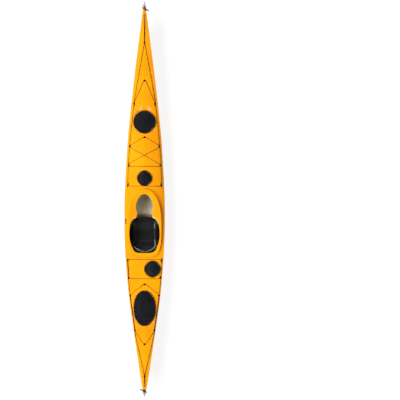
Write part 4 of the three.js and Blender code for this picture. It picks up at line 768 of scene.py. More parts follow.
def finished(m, low, high, tone, ends=(0.35, 0.65), rough=0.5, relief=None, **values):
    """The shader: colour between two hex values by a tone, roughness, relief as a bump."""
    values = {"Base Color": linear(low), **values}
    links = {}
    if tone:
        limits = {"From Min": ends[0], "From Max": ends[1]}
        share = add(m, "ShaderNodeMapRange", values=limits, links={"Value": tone})
        colours = {6: linear(low), 7: linear(high)}
        mix = add(m, "ShaderNodeMix", {"data_type": "RGBA"}, colours, {0: share.outputs[0]})
        links["Base Color"] = mix.outputs[2]
    if isinstance(rough, tuple):
        by, least, most = rough
        spread = add(m, "ShaderNodeMapRange", values={"To Min": least, "To Max": most}, links={"Value": by})
        links["Roughness"] = spread.outputs[0]
    else:
        values["Roughness"] = rough
    if relief:
        height, depth, strength = relief
        links["Normal"] = add(m, "ShaderNodeBump", values={"Distance": depth, "Strength": strength},
                              links={"Height": height}).outputs[0]
    shader = add(m, "ShaderNodeBsdfPrincipled", values=values, links=links)
    add(m, "ShaderNodeOutputMaterial", links={"Surface": shader.outputs[0]})
    return m


def new_look(name):
    return cleared(bpy.data.materials.new(name))


def gelcoat():
    """Polyester gelcoat, polished out of the mould: deep gloss over a solid colour, faintly uneven."""
    m = new_look("polished_gelcoat")
    peel = pattern(m, NOISE, 180.0, Detail=1.0)
    tone, haze = pattern(m, NOISE, 3.0), pattern(m, NOISE, 14.0)
    relief = (peel, 0.0003, 0.25)
    return finished(m, "#FF9A00", "#FFA500", tone, rough=(haze, 0.12, 0.2), relief=relief, IOR=1.5)


def glass_laminate(name, source, axes):
    """Woven glass and resin, left as laid up: matt grey-beige, a 12 mm basket weave, resin-rich blotches."""
    m = new_look(name)
    weave = crossed(m, "MAXIMUM", *[
        pattern(m, BANDS, 26.0, {"bands_direction": axis}, source, Distortion=0.4) for axis in axes])
    blotch = pattern(m, NOISE, 9.0)
    tone = add(m, "ShaderNodeMath", {"operation": "MULTIPLY_ADD"}, {1: 0.35}, {0: weave, 2: blotch})
    rough, relief = (blotch, 0.4, 0.65), (weave, 0.0006, 0.5)
    return finished(m, "#BDB699", "#D8D2B8", tone.outputs[0], (0.45, 0.95), rough, relief, IOR=1.52)


def hatch_rubber(name, low, high):
    """Moulded hatch rubber: near black, satin where hands polish it, finely pebbled."""
    m = new_look(name)
    pebbles = pattern(m, NOISE, 900.0, Detail=2.0)
    return finished(m, low, high, pattern(m, NOISE, 11.0), rough=(pattern(m, NOISE, 30.0), 0.2, 0.34),
                    relief=(pebbles, 0.0002, 0.35), IOR=1.52)


def black_plastic(name, low, high, rough):
    """Moulded black plastic: satin, with the even fine grain of a spark-eroded mould."""
    m = new_look(name)
    wear = pattern(m, NOISE, 60.0)
    return finished(m, low, high, pattern(m, NOISE, 25.0), rough=(wear, rough - 0.08, rough + 0.1),
                    relief=(pattern(m, CELLS, 700.0), 0.00025, 0.3), IOR=1.53)


def band_fabric():
    """Laminated pack cloth over foam: matt black plain weave, drawn at 2 mm so that it shows."""
    m = new_look("woven_pack_cloth")
    weave = crossed(m, "MULTIPLY", *[pattern(m, BANDS, 78.0, {"bands_direction": axis}) for axis in "XZ"])
    return finished(m, "#0F1013", "#23252B", weave, (0.1, 0.8), (pattern(m, NOISE, 20.0), 0.75, 0.95),
                    (weave, 0.0004, 0.6), **{"IOR": 1.5, "Sheen Weight": 0.3, "Sheen Roughness": 0.4})


def binding_tape():
    """Folded nylon edge tape, pale grey ribs across its width, slightly shiny; its pale grey is a painted
    highlight along the band's edge.
    """
    m = new_look("binding_tape_painted_highlight")
    ribs = pattern(m, BANDS, 90.0, {"bands_direction": "X"})
    return finished(m, "#7C8288", "#B4BAC0", ribs, (0.2, 0.8), 0.6, (ribs, 0.0003, 0.5),
                    **{"IOR": 1.5, "Sheen Weight": 0.2})


def braided_cord(name, low, high):
    """A braided polyester sleeve: crossing strands as diamonds at 3 mm, with lighter flecks."""
    m = new_look(name)
    braid = crossed(m, "MULTIPLY", *[
        pattern(m, BANDS, 1.1, {"bands_direction": "Y"}, "UV", {"Rotation": (0, 0, slant)})
        for slant in (0.7, -0.7)])
    return finished(m, low, high, braid, (0.1, 0.9), 0.8, (braid, 0.0005, 0.7), IOR=1.5)


def anodised_rail():
    """Anodised extruded aluminium: silver grey with fine draw lines along the rail."""
    m = new_look("anodised_aluminium")
    lines = pattern(m, NOISE, 1.0, mapping={"Scale": (900.0, 12.0, 900.0)}, Detail=2.0)
    return finished(m, "#9DA1A6", "#B6BABF", lines, (0.3, 0.7), (lines, 0.28, 0.42), (lines, 0.0001, 0.3),
                    Metallic=1.0)


def steel_screw():
    """Machined stainless steel: bright, its turned face uneven in gloss."""
    m = new_look("turned_stainless_steel")
    return finished(m, "#C4C6C8", "#C4C6C8", None, rough=(pattern(m, NOISE, 300.0), 0.2, 0.38), Metallic=1.0)


def end_cap_resin():
    """Filled resin at the ends, sanded by beaches: a dull pale grey-brown with small scuffs."""
    m = new_look("scuffed_end_resin")
    scuffs = pattern(m, NOISE, 140.0, mapping={"Scale": (1.0, 0.4, 1.0)}, Detail=6.0)
    relief = (scuffs, 0.0004, 0.3)
    return finished(m, "#948B83", "#ACA39C", scuffs, rough=(scuffs, 0.4, 0.65), relief=relief, IOR=1.5)


def blade_plastic():
    """Polished fibreglass sheet for the skeg blade: grey, even, with a fine swirl from rubbing down."""
    m = new_look("polished_blade_sheet")
    swirl = pattern(m, NOISE, 40.0, mapping={"Scale": (1.0, 3.0, 1.0)}, Detail=5.0)
    relief = (swirl, 0.0002, 0.3)
    return finished(m, "#34373C", "#454950", swirl, rough=(swirl, 0.3, 0.5), relief=relief, IOR=1.52)


def foam_pad():
    """Closed-cell foam: matt dark grey skin with pin-prick cells."""
    m = new_look("closed_cell_foam")
    cells = pattern(m, CELLS, 420.0)
    return finished(m, "#24272C", "#16181B", cells, (0.1, 0.7), 0.92, (cells, 0.0005, 0.4), IOR=1.45)


GELCOAT, CLOTH, HIGHLIGHT_TAPE, RAIL, STEEL = gelcoat(), band_fabric(), binding_tape(), anodised_rail(), steel_screw()
CAP, BLADE, FOAM = end_cap_resin(), blade_plastic(), foam_pad()
GLASS = glass_laminate("woven_glass_laminate", "UV", "XY")
GLASS_SHEET = glass_laminate("flat_glass_laminate", "Object", "XZ")
RUBBER = hatch_rubber("moulded_hatch_rubber", "#070403", "#0F0A08")
# The dome panel's paler bluish colour is a painted reflection of the light on its smooth face.
PANEL_RUBBER_PAINTED_REFLECTION = hatch_rubber("hatch_rubber_painted_reflection", "#04070C", "#0A1018")
NYLON = black_plastic("moulded_black_nylon", "#0A0807", "#141210", 0.4)
SEAT_SHELL = black_plastic("vacuum_formed_seat_sheet", "#050607", "#0B0C0F", 0.3)
CORD = braided_cord("braided_shock_cord", "#120904", "#2A180C")
LINE = braided_cord("braided_deck_line", "#24170A", "#453014")

# The picture's width on the deck and where its middle lies, in metres, and each lamp: the way its light
# goes, how wide it looks in degrees, how strong it is.
SENSOR = 36.0
PICTURE_WIDTH = 5.496
EYE = (0.761, -0.011, 40.25)
EYE_ABOVE_DECK = 40.0
FLOOR_HALF = 20.0
FLOOR_DROP = 0.001
LAMP_PLACE = (-4.0, -3.0, 6.0)
LAMPS = {
    "port_bow_softbox": ((0.72, -0.66, -1.0), 26.0, 2.3),
    "port_stern_softbox": ((0.72, 0.66, -1.0), 26.0, 2.3),
    "stern_softbox": ((-0.55, 0.8, -1.0), 30.0, 0.6),
}


def put(name, data):
    """A new object in the scene."""
    thing = bpy.data.objects.new(name, data)
    bpy.context.scene.collection.objects.link(thing)
    return thing


def set_camera():
    """The photograph's straight-down view, from far off."""
    scene = bpy.context.scene
    scene.view_settings.view_transform = "Standard"
    lens = bpy.data.cameras.new("camera")
    lens.lens = SENSOR * EYE_ABOVE_DECK / PICTURE_WIDTH
    lens.sensor_width = SENSOR
    lens.clip_end = 100.0
    eye = put("camera", lens)
    eye.location = EYE
    scene.camera = eye


def set_floor():
    """A pale floor that keeps soft shadows and renders white where the camera or a reflection sees it."""
    look = new_look("white_studio_floor")
    matt = add(look, "ShaderNodeBsdfDiffuse", values={"Color": (0.8, 0.8, 0.8, 1)})
    glow = add(look, "ShaderNodeEmission", values={"Color": (1, 1, 1, 1), "Strength": 1.07})
    rays = add(look, "ShaderNodeLightPath").outputs
    seen = crossed(look, "MAXIMUM", rays["Is Camera Ray"], rays["Is Glossy Ray"])
    seen = crossed(look, "MAXIMUM", seen, rays["Is Transmission Ray"])
    share = add(look, "ShaderNodeMath", {"operation": "MULTIPLY"}, {1: 0.82}, {0: seen}).outputs[0]
    mixed = add(look, "ShaderNodeMixShader", links={0: share, 1: matt.outputs[0], 2: glow.outputs[0]})
    add(look, "ShaderNodeOutputMaterial", links={"Surface": mixed.outputs[0]})
    mesh = bpy.data.meshes.new("studio_floor")
    corners = [(x * FLOOR_HALF, y * FLOOR_HALF, -FLOOR_DROP) for x, y in ((-1, -1), (1, -1), (1, 1), (-1, 1))]
    mesh.from_pydata(corners, [], [(0, 1, 2, 3)])
    mesh.materials.append(look)
    put("studio_floor", mesh)


def set_light():
    """Dim air that looks white, and soft lamps so far off that both ends of the boat get the same light."""
    world = cleared(bpy.data.worlds.new("studio_air"))
    air, seen_air = [
        add(world, "ShaderNodeBackground", values={"Color": (1, 1, 1, 1), "Strength": strength}).outputs[0]
        for strength in (0.12, 1.0)]
    seen = add(world, "ShaderNodeLightPath").outputs["Is Camera Ray"]
    mixed = add(world, "ShaderNodeMixShader", links={0: seen, 1: air, 2: seen_air})
    add(world, "ShaderNodeOutputWorld", links={"Surface": mixed.outputs[0]})
    bpy.context.scene.world = world
    for name, (towards, width, power) in LAMPS.items():
        lamp = bpy.data.lights.new(name, "SUN")
        lamp.angle = math.radians(width)
        lamp.energy = power
        holder = put(name, lamp)
        holder.rotation_euler = Vector(towards).to_track_quat("-Z", "Y").to_euler()
        holder.location = LAMP_PLACE


def fine_between(back, front, coarse, places, fine):
    """Stations from back to front at a coarse step, at a fine one inside each (low, high) stretch."""
    marks = np.arange(back, front, 1.0)
    step = np.full_like(marks, coarse)
    for low, high in places:
        step[(marks > low) & (marks < high)] = fine
    density = np.concatenate([[0], np.cumsum(1 / step)])
    count = int(np.ceil(density[-1]))
    return np.interp(np.linspace(0, density[-1], count + 1), density, np.append(marks, front))


def hull_net(y, inset, slot_half):
    """The hull's net, port sheer to starboard sheer, with a column at each side of the skeg's slot."""
    x, z = hull_side(y, inset, sheer(y) - GAP / 2, HULL_LANES)
    inner = np.minimum(slot_half, x[:, :1] * 0.7)
    xs = np.concatenate([-x[:, ::-1], -inner, inner, x], 1)
    zs = np.concatenate([z[:, ::-1], z[:, :1], z[:, :1], z], 1)
    return np.stack([xs, np.broadcast_to(y[:, None], xs.shape), zs], -1)


def make_hull():
    """The outer and inner sides of the hull with a wall along the sheer, both ends and the skeg slot."""
    ends = [(BODY_BACK, BODY_BACK + HULL_END), (BODY_FRONT - HULL_END, BODY_FRONT)]
    y = fine_between(BODY_BACK, BODY_FRONT, HULL_STEP, ends, HULL_END_STEP)
    slot_front, slot_back = SKEG_FRONT + GAP, SKEG_FRONT - SKEG_LENGTH - GAP
    for edge in (slot_front, slot_back):
        y[np.argmin(np.abs(y - edge))] = edge
    outer, inner = [hull_net(y, inset, SKEG_BOX_HALF_WIDTH + GAP) for inset in (0.0, LAMINATE)]
    quads = grid(*outer.shape[:2])
    row, column = np.divmod(quads[:, 0], outer.shape[1])
    slot = (column == outer.shape[1] // 2 - 1) & (y[row] < slot_front) & (y[row] >= slot_back)
    part = outwards(*walled(outer.reshape(-1, 3), inner.reshape(-1, 3), quads[~slot]))
    index = np.repeat([0, 1, 0], [len(group) for group in part[1]])
    # The cloth is laid round the hull, so its pattern is measured along the girth and along the boat.
    nets = np.stack([outer, inner])
    steps = np.linalg.norm(np.diff(nets, axis=2), axis=3)
    girth = np.concatenate([0 * steps[..., :1], np.cumsum(steps, 2)], 2) - steps.sum(2, keepdims=True) / 2
    uv = np.stack([girth, nets[..., 1]], -1).reshape(-1, 2) * MM
    make("hull_shell", part, [GELCOAT, GLASS], "boat", "hull", index=index, uv=uv)


def coaming_plan(count):
    """The coaming's flange from above: a superellipse, round in front, square behind, evenly stepped."""
    middle, half = (COAMING_FRONT + COAMING_BACK) / 2, (COAMING_FRONT - COAMING_BACK) / 2
    angle = np.linspace(0, 2 * np.pi, 8001)
    c, s = np.cos(angle), np.sin(angle)
    power = np.where(c > 0, 2.2, 4.0)
    along = middle + half * signed_power(c, 2 / power)
    plan = np.stack([COAMING_HALF_WIDTH * signed_power(s, 2 / power), along], -1)
    run = run_along(plan)
    at = np.linspace(0, run[-1], count, endpoint=False)
    # The way along is taken over one of the 38 steps that the CAD's own coaming has.
    reach = run[-1] / 38 / 2
    here, ahead, behind = [
        np.array([np.interp((at + shift) % run[-1], run, line) for line in plan.T])
        for shift in (0, reach, -reach)]
    way = ahead - behind
    way /= np.hypot(*way)
    out = np.array([-way[1], way[0]])
    out *= np.sign(out[0] * here[0] + out[1] * (here[1] - middle))
    return here, out, (here[1] - middle) / half


COAMING_PLAN = coaming_plan(240)


def fitting_places():
    """Each deck fitting's name and its place across and along the boat."""
    places = {f"centre_{name}": (0.0, along * HALF_LENGTH) for name, along in CENTRE_FITTINGS}
    for i, (along, across) in enumerate(SIDE_FITTINGS, 1):
        y = along * HALF_LENGTH
        x = float(across * half_breadth(y))
        places[f"starboard_{i}"], places[f"port_{i}"] = (x, y), (-x, y)
    return places


def deck_frame(x, y, reach):
    """An origin on the deck, over its highest place in reach, and axes whose upright follows its slope."""
    spots = deck(np.array([x, x + reach, x - reach, x, x]), np.array([y, y, y, y + reach, y - reach]))
    up = np.array([spots[2] - spots[1], spots[4] - spots[3], 2 * reach])
    up /= np.linalg.norm(up)
    across = np.eye(2) - np.outer(up[:2], up[:2]) / (1 + up[2])
    axes = np.vstack([np.column_stack([across, up[:2]]), [-up[0], -up[1], up[2]]])
    dx, dy = reach * np.cos(turns(16)), reach * np.sin(turns(16))
    plane = spots[0] - (up[0] * dx + up[1] * dy) / up[2]
    bulge = max(float((deck(x + dx, y + dy) - plane).max()), 0.0)
    return np.array([x, y, spots[0] + bulge]), axes


FRAMES = {name: deck_frame(x, y, FITTING_RADIUS) for name, (x, y) in fitting_places().items()}
SLIDER_FRAME = deck_frame(SLIDER_X, SLIDER_Y, SLIDER_REACH)


def on_frame(part, at):
    """A part stood on a deck frame."""
    origin, axes = at
    return part[0] @ axes.T + origin, part[1]


def nearest_on(loop, spots):
    """The nearest place to each spot on a closed loop of places, measured to its short straight sides."""
    way = np.roll(loop, -1, axis=0) - loop
    t = np.clip(np.einsum("nkj,kj->nk", spots[:, None] - loop, way) / np.einsum("kj,kj->k", way, way), 0, 1)
    near = loop + t[..., None] * way
    pick = np.argmin(np.linalg.norm(near - spots[:, None], axis=2), 1)
    return near[np.arange(len(spots)), pick]


def within(loop, spots):
    """Whether each spot lies inside a closed loop, by counting the sides crossed on the way to starboard."""
    a, b = loop, np.roll(loop, -1, axis=0)
    x, y = spots[:, :1], spots[:, 1:2]
    spans = (a[:, 1] > y) != (b[:, 1] > y)
    rise = np.where(b[:, 1] == a[:, 1], 1.0, b[:, 1] - a[:, 1])
    crossing = a[:, 0] + (y - a[:, 1]) * (b[:, 0] - a[:, 0]) / rise
    return ((spans & (x < crossing)).sum(1) % 2) == 1


def opened(points, quads, loop):
    """Drops quads with a corner inside a loop, moves the hole's edge onto it, and returns that edge too."""
    near = np.all((points[:, :2] > loop.min(0)) & (points[:, :2] < loop.max(0)), 1)
    inside = np.zeros(len(points), bool)
    inside[near] = within(loop, points[near, :2])
    gone = inside[quads].any(1)
    edge = np.intersect1d(quads[gone], quads[~gone])
    points[edge, :2] = nearest_on(loop, points[edge, :2])
    return quads[~gone], edge


def deck_holes():
    """Outlines of the deck's holes apart from the hatches: cockpit, each fitting's cup and the slider."""
    place, out, _ = COAMING_PLAN
    circle = np.stack([np.cos(turns(24)), np.sin(turns(24))], -1)
    corner = circle * SLOT_CORNER
    slot = corner + np.sign(corner) * [SLOT_HALF_WIDTH - SLOT_CORNER, SLOT_HALF_LENGTH - SLOT_CORNER]
    holes = [(circle * (CUP_RADIUS + CUP_HOLE_GAP), at) for at in FRAMES.values()] + [(slot, SLIDER_FRAME)]
    cockpit = (place - out * (FLANGE_WIDTH + RISER)).T
    return [cockpit, *[origin[:2] + ring @ axes[:2, :2].T for ring, (origin, axes) in holes]]


def recess_collar(hatch, points, quads, edge):
    """Rings from a hole's edge down its recess to the hatch's mouth, a column for each edge point."""
    x, y, wide, long, _, power = HATCHES[hatch]
    away = signed_power((points[edge, :2] - [x, y]) / [wide, long], power / 2)
    angles = np.arctan2(away[:, 1], away[:, 0])
    lip, foot = recess_lip(hatch, angles), recess_ring(hatch, 0.0, angles)
    mouth = hatch_ring(hatch, RIM_WALL + GAP - RIM_INSET, angles)
    out = (lip - [x, y]) / np.linalg.norm(lip - [x, y], axis=1)[:, None]
    lanes = [lip + out * reach for reach in LIP_LANES] + [foot + (lip - foot) * share for share in WALL_LANES]
    lanes = np.array([*lanes, foot - out * FOOT_LANE, mouth])
    rows = np.arange(lanes.size // 2).reshape(lanes.shape[:2]) + len(points)
    rows = np.concatenate([edge[None], rows])
    lanes = lanes.reshape(-1, 2)
    points = np.concatenate([points, np.column_stack([lanes, deck(*lanes.T)])])
    sides = open_sides(quads, len(points))
    a, b = np.searchsorted(edge, sides[np.isin(sides, edge).all(1)]).T
    strips = np.stack([rows[:-1, b], rows[:-1, a], rows[1:, a], rows[1:, b]], -1).reshape(-1, 4)
    return points, np.concatenate([quads, strips])


def deck_net():
    """A net over the deck, finest near hatches, cockpit and fittings, with its holes opened."""
    stretches = [(COAMING_BACK - COAMING_MARGIN, COAMING_FRONT + COAMING_MARGIN)]
    stretches += [(y - FITTING_MARGIN, y + FITTING_MARGIN) for _, y in fitting_places().values()]
    for _, y, _, long, flare, _ in HATCHES.values():
        stretches.append((y - long - HATCH_MARGIN, y + long + min(flare, FINE_FLARE) + HATCH_MARGIN))
    y = fine_between(BODY_BACK, BODY_FRONT, DECK_STEP, stretches, DECK_FINE_STEP)
    u = np.linspace(-1, 1, DECK_LANES)
    x = half_breadth(y)[:, None] * (u + DECK_EDGE_CROWDING * (np.sin(u * np.pi / 2) - u))
    points = np.stack([x, np.broadcast_to(y[:, None], x.shape), 0 * x], -1).reshape(-1, 3)
    quads = grid(*x.shape)
    for loop in deck_holes():
        quads, _ = opened(points, quads, loop)
    for hatch, (*middle, _, _, _, _) in HATCHES.items():
        lip = recess_lip(hatch, turns(240)) - middle
        loop = middle + lip * (1 + RECESS_BORDER / np.linalg.norm(lip, axis=1))[:, None]
        quads, edge = opened(points, quads, loop)
        points, quads = recess_collar(hatch, points, quads, edge)
    points[:, 2] = deck(points[:, 0], points[:, 1])
    return points, quads, np.arange(len(y)) * DECK_LANES


def make_deck():
    """The deck's net and a copy inside it, walled, with one more column at each side down to the seam."""
    points, quads, first_column = deck_net()
    breadth = half_breadth(points[:, 1])
    inner = points * np.column_stack([(breadth - LAMINATE) / breadth, np.ones((len(points), 2))])
    inner[:, 2] -= LAMINATE
    for side, edge in enumerate((first_column, first_column + DECK_LANES - 1)):
        low, low_inner = points[edge], inner[edge]
        low[:, 2] = sheer(low[:, 1]) + GAP / 2
        low_inner[:, 2] = low[:, 2]
        new = len(points) + np.arange(len(edge))
        points, inner = np.concatenate([points, low]), np.concatenate([inner, low_inner])
        strip = np.stack([edge[:-1], edge[1:], new[1:], new[:-1]], -1)
        quads = np.concatenate([quads, strip[:, ::-1] if side else strip])
    points, faces = walled(points, inner, facing_up(points, quads))
    index = np.repeat([0, 1, 0], [len(group) for group in faces])
    points, faces = used_only(points, faces)
    make("deck_shell", (points, faces), [GELCOAT, GLASS], "boat", "deck", 28, index,
         points[:, :2] * MM)


def make_coaming():
    """The section of flange, brace ledge, riser and foot carried round the cockpit's outline."""
    place, out, share = COAMING_PLAN
    rim = DEPTH * curve_through(RIM_LINE)(share)
    width = COAMING_HALF_WIDTH * curve_through(LEDGE)(share)
    drop = BRACE_DROP * width / COAMING_HALF_WIDTH
    inner = FLANGE_WIDTH + RISER

    def corners(section):
        along_ledge, outward, along_drop, up = np.array(section, float).T[..., None]
        return outward - inner - (width - inner) * along_ledge, rim - drop * along_drop + up

    over, behind = corners(RIM_SECTION), corners(FLANGE_SECTION)
    feet = [deck(*(place - out * reach)) + GAP for reach in (inner, FLANGE_WIDTH)]
    foot_away = np.array([-inner, -inner, -FLANGE_WIDTH, -FLANGE_WIDTH])[:, None] + 0 * rim
    foot_z = np.array([feet[0] + FOOT_EDGE, feet[0], feet[1], feet[1] + FOOT_EDGE])
    away = np.concatenate([over[0], foot_away, behind[0]]).T[..., None]
    z = np.concatenate([over[1], foot_z, behind[1]]).T[..., None]
    rings = np.concatenate([place.T[:, None] + out.T[:, None] * away, z], -1)
    make("coaming_moulding", hooped(rings), [GELCOAT], "boat", "coaming", 50)


def level_rings(plans, heights):
    """Outlines in plan, each at its own height."""
    rings = [np.column_stack([plan, np.full(len(plan), height)]) for plan, height in zip(plans, heights)]
    return np.array(rings)


def hatch_rings(hatch, profile):
    """A profile of (growth, height above the recess floor) carried round the hatch's outline."""
    growths, heights = np.array(profile).T
    return level_rings([hatch_ring(hatch, g, turns(HATCH_SIDES)) for g in growths], FLOORS[hatch] + heights)


def scaled_rings(hatch, shares, heights):
    """Rings that are shares of the hatch's own outline, at heights above the recess floor."""
    middle, plan = HATCHES[hatch][:2], hatch_ring(hatch, 0.0, turns(HATCH_SIDES))
    plans = [middle + (plan - middle) * share for share in shares]
    return level_rings(plans, FLOORS[hatch] + np.array(heights))


def make_cover(hatch):
    """A rubber lid: skirt, round-shouldered ring, groove, then a parabola as dome, with a step and a bead."""
    x, y, wide, long, _, _ = HATCHES[hatch]
    low, inside = RIM_HEIGHT + GAP, RIM_WALL + LID_SLACK - RIM_INSET
    groove = COVER_HEIGHT - LID_GROOVE_DEPTH
    under = hatch_rings(hatch, rounded([
        (-RIM_INSET - LID_LIP, low), (inside, low), (inside, COVER_SKIRT), (0, COVER_SKIRT),
        (0, COVER_HEIGHT), (-LID_SHOULDER, COVER_HEIGHT), (-LID_GROOVE, groove),
    ], LID_ROUND))
    s = 1 - np.linspace(0, 1, 15)[1:] * 0.97
    dome = groove + DOME_RISE * (1 - s ** 2) + PANEL_RISE * np.clip((0.62 - s) / 0.05, 0, 1)
    dome -= BEAD_DEPTH * np.exp(-((s - 0.3) / 0.06) ** 2)
    top = scaled_rings(hatch, s * (1 - LID_GROOVE / wide), dome)
    part = capped(np.concatenate([scaled_rings(hatch, [MIDDLE_SHARE], [low]), under, top]))
    # The domed panel, past the groove, is the paler bluish rubber, a painted reflection; the last fan closes
    # it in the middle.
    ring_of_face = np.arange(len(part[1][0])) // HATCH_SIDES
    index = np.concatenate([ring_of_face > len(under) + 1, np.repeat([False, True], HATCH_SIDES)])
    # The tab that a hand pulls stands out aft, low over the recess.
    tab = moved(plate("hatch_tab"), x, y - long + TAB_TUCK, FLOORS[hatch])
    index = np.append(index, np.zeros(face_count(tab)))
    make(f"{hatch}_hatch_lid", joined(part, tab), [RUBBER, PANEL_RUBBER_PAINTED_REFLECTION], f"{hatch}_cover",
         f"{hatch}_hatch_cover", index=index)


def make_rim(hatch):
    """A ring of L section whose lip the lid grips, rounded at its lip."""
    profile = rounded([
        (0, 0), (0, RIM_HEIGHT), (RIM_WALL, RIM_HEIGHT), (RIM_WALL, RIM_PLATE), (RIM_FLANGE, RIM_PLATE),
        (RIM_FLANGE, GAP), (RIM_WALL, GAP), (RIM_WALL, -RIM_DEPTH), (0, -RIM_DEPTH), (0, -1)], RIM_ROUND)
    rings = hatch_rings(hatch, profile - [RIM_INSET, 0])
    make(f"{hatch}_rim_ring", hooped(rings), [NYLON], "boat", f"{hatch}_hatch_rim")


def make_tub():
    """The pod's tub: one wall that runs down, across the floor and up outside to its flange and lip."""
    wide = HATCHES["pod"][2]
    narrow, wall, flange = (wide - RIM_INSET) * TUB_TAPER - wide, RIM_WALL - RIM_INSET, RIM_FLANGE - RIM_INSET
    floor = TUB_WALL - TUB_DEPTH
    profile = rounded([
        (narrow - TUB_CORNER, -TUB_DEPTH), (narrow, -TUB_DEPTH), (wall, -TUB_SHOULDER), (wall, GAP),
        (flange, GAP), (flange, RIM_PLATE), (wall, RIM_PLATE), (wall, RIM_HEIGHT),
        (-RIM_INSET, RIM_HEIGHT), (-RIM_INSET, -TUB_WALL), (narrow - TUB_WALL, floor),
        (narrow - TUB_CORNER - TUB_WALL, floor),
    ], TUB_ROUND)
    under, over = [scaled_rings("pod", [MIDDLE_SHARE], [height]) for height in (-TUB_DEPTH, floor)]
    rings = np.concatenate([under, hatch_rings("pod", profile), over])
    make("pod_tub_moulding", capped(rings), [NYLON], "boat", "pod_tub")


def make_fittings():
    """Each: a cup with a round flange turned from one profile, a rounded bar across it, a screw below."""
    cup = capped(lathe(rounded(CUP_SECTION, CUP_ROUND, 3), 28))
    for name, at in FRAMES.items():
        way = np.array([0.0, 1, 0] if name in LENGTHWAYS else [1.0, 0, 0])
        reach = np.linspace(-1, 1, 9)
        swell = BAR_RADIUS + BAR_SWELL * np.abs(reach) ** 3
        bar = tube(way * reach[:, None] * BAR_REACH + np.array([0, 0, BAR_HEIGHT]), swell)
        part, index = two_looks([cup, bar], [plate("fitting_screw")])
        make(f"{name}_cup", on_frame(part, at), [NYLON, STEEL], "boat", f"{name}_fitting",
             index=index)


def at_fitting(name, x, y, z):
    """A place beside a fitting, in the boat's own frame."""
    origin, axes = FRAMES[name]
    return axes @ np.array([x, y, z]) + origin


class CordWay:
    """The route of one cord over the deck, from knot to knot, under the bars of the fittings it passes."""

    def __init__(self):
        self.spots = []
        self.next_hop = 0.0

    def lay(self, target):
        """A straight way in plan to a place, lying on the deck or stretched over its hollows."""
        start = self.spots[-1]
        count = max(int(np.hypot(*(target - start)[:2]) / CORD_STEP), 2)
        run = start + np.linspace(0, 1, count + 1)[1:-1, None] * (target - start)
        hop = self.next_hop * np.exp(-((run[:, 0] / HOP_REACH) ** 2))
        run[:, 2] = np.maximum(run[:, 2], deck(run[:, 0], run[:, 1]) + CORD_RADIUS + GAP + hop)
        self.spots += [*run, target]
        self.next_hop = 0.0

    def knot(self, name, side=1, end=1):
        """A knot beside a fitting: shares of the usual way to its side and ahead of it."""
        self.spots.append(at_fitting(name, side * KNOT_SIDE, end * KNOT_REACH, KNOT_HEIGHT))
        return self

    def under(self, names, lane, way, across=False):
        """A dip in a cosine under the bar of each fitting, as deep as the cup allows."""
        reach = np.linspace(-PASS_END, PASS_END, 9)
        dip = PASS_HIGH - (PASS_HIGH - PASS_LOW) * np.cos(np.pi * reach / (2 * PASS_END)) ** 2
        side = lane * CORD_LANE
        for name in names.split():
            spots = [at_fitting(name, r * way, side, z) if across else at_fitting(name, side, r * way, z)
                     for r, z in zip(reach, dip)]
            if len(self.spots) > 1:
                self.lay(spots.pop(0))
            self.spots += spots
        return self

    def over(self, *places):
        """Over the deck by way of some places."""
        for x, y in places:
            self.lay(np.array([x, y, deck([x], [y])[0] + CORD_RADIUS + CORD_CLEARANCE]))
        return self

    def hop(self):
        """The next stretch lifts over the cord that it crosses at the boat's middle."""
        self.next_hop = 2 * (CORD_RADIUS + GAP)
        return self


def knot_at(place, size):
    """A trefoil: each coordinate is a sum of two sines, drawn as a closed tube of the cord."""
    t = turns(48)
    curve = np.stack([np.sin(t) + 2 * np.sin(2 * t), np.cos(t) - 2 * np.cos(2 * t), -np.sin(3 * t) * 1.1], -1)
    ring = place + curve * size
    way = np.roll(ring, -1, axis=0) - np.roll(ring, 1, axis=0)
    way /= np.linalg.norm(way, axis=1)[:, None]
    a = np.cross(way, [0.3, 0.2, 1.0])
    a /= np.linalg.norm(a, axis=1)[:, None]
    return hooped(hoops(ring, a, np.cross(way, a), KNOT_RADIUS, 8))


def make_cord(name, body, node, path, knots, look):
    """A cord's tube along a path, with its knots."""
    uv = [tube_uv(path, CORD_SIDES, CORD_RADIUS), *[points[:, :2] / UV_STEP for points, _ in knots]]
    part = joined(tube(path, CORD_RADIUS), *knots)
    make(name, part, [look], body, node, 60, uv=np.concatenate(uv))


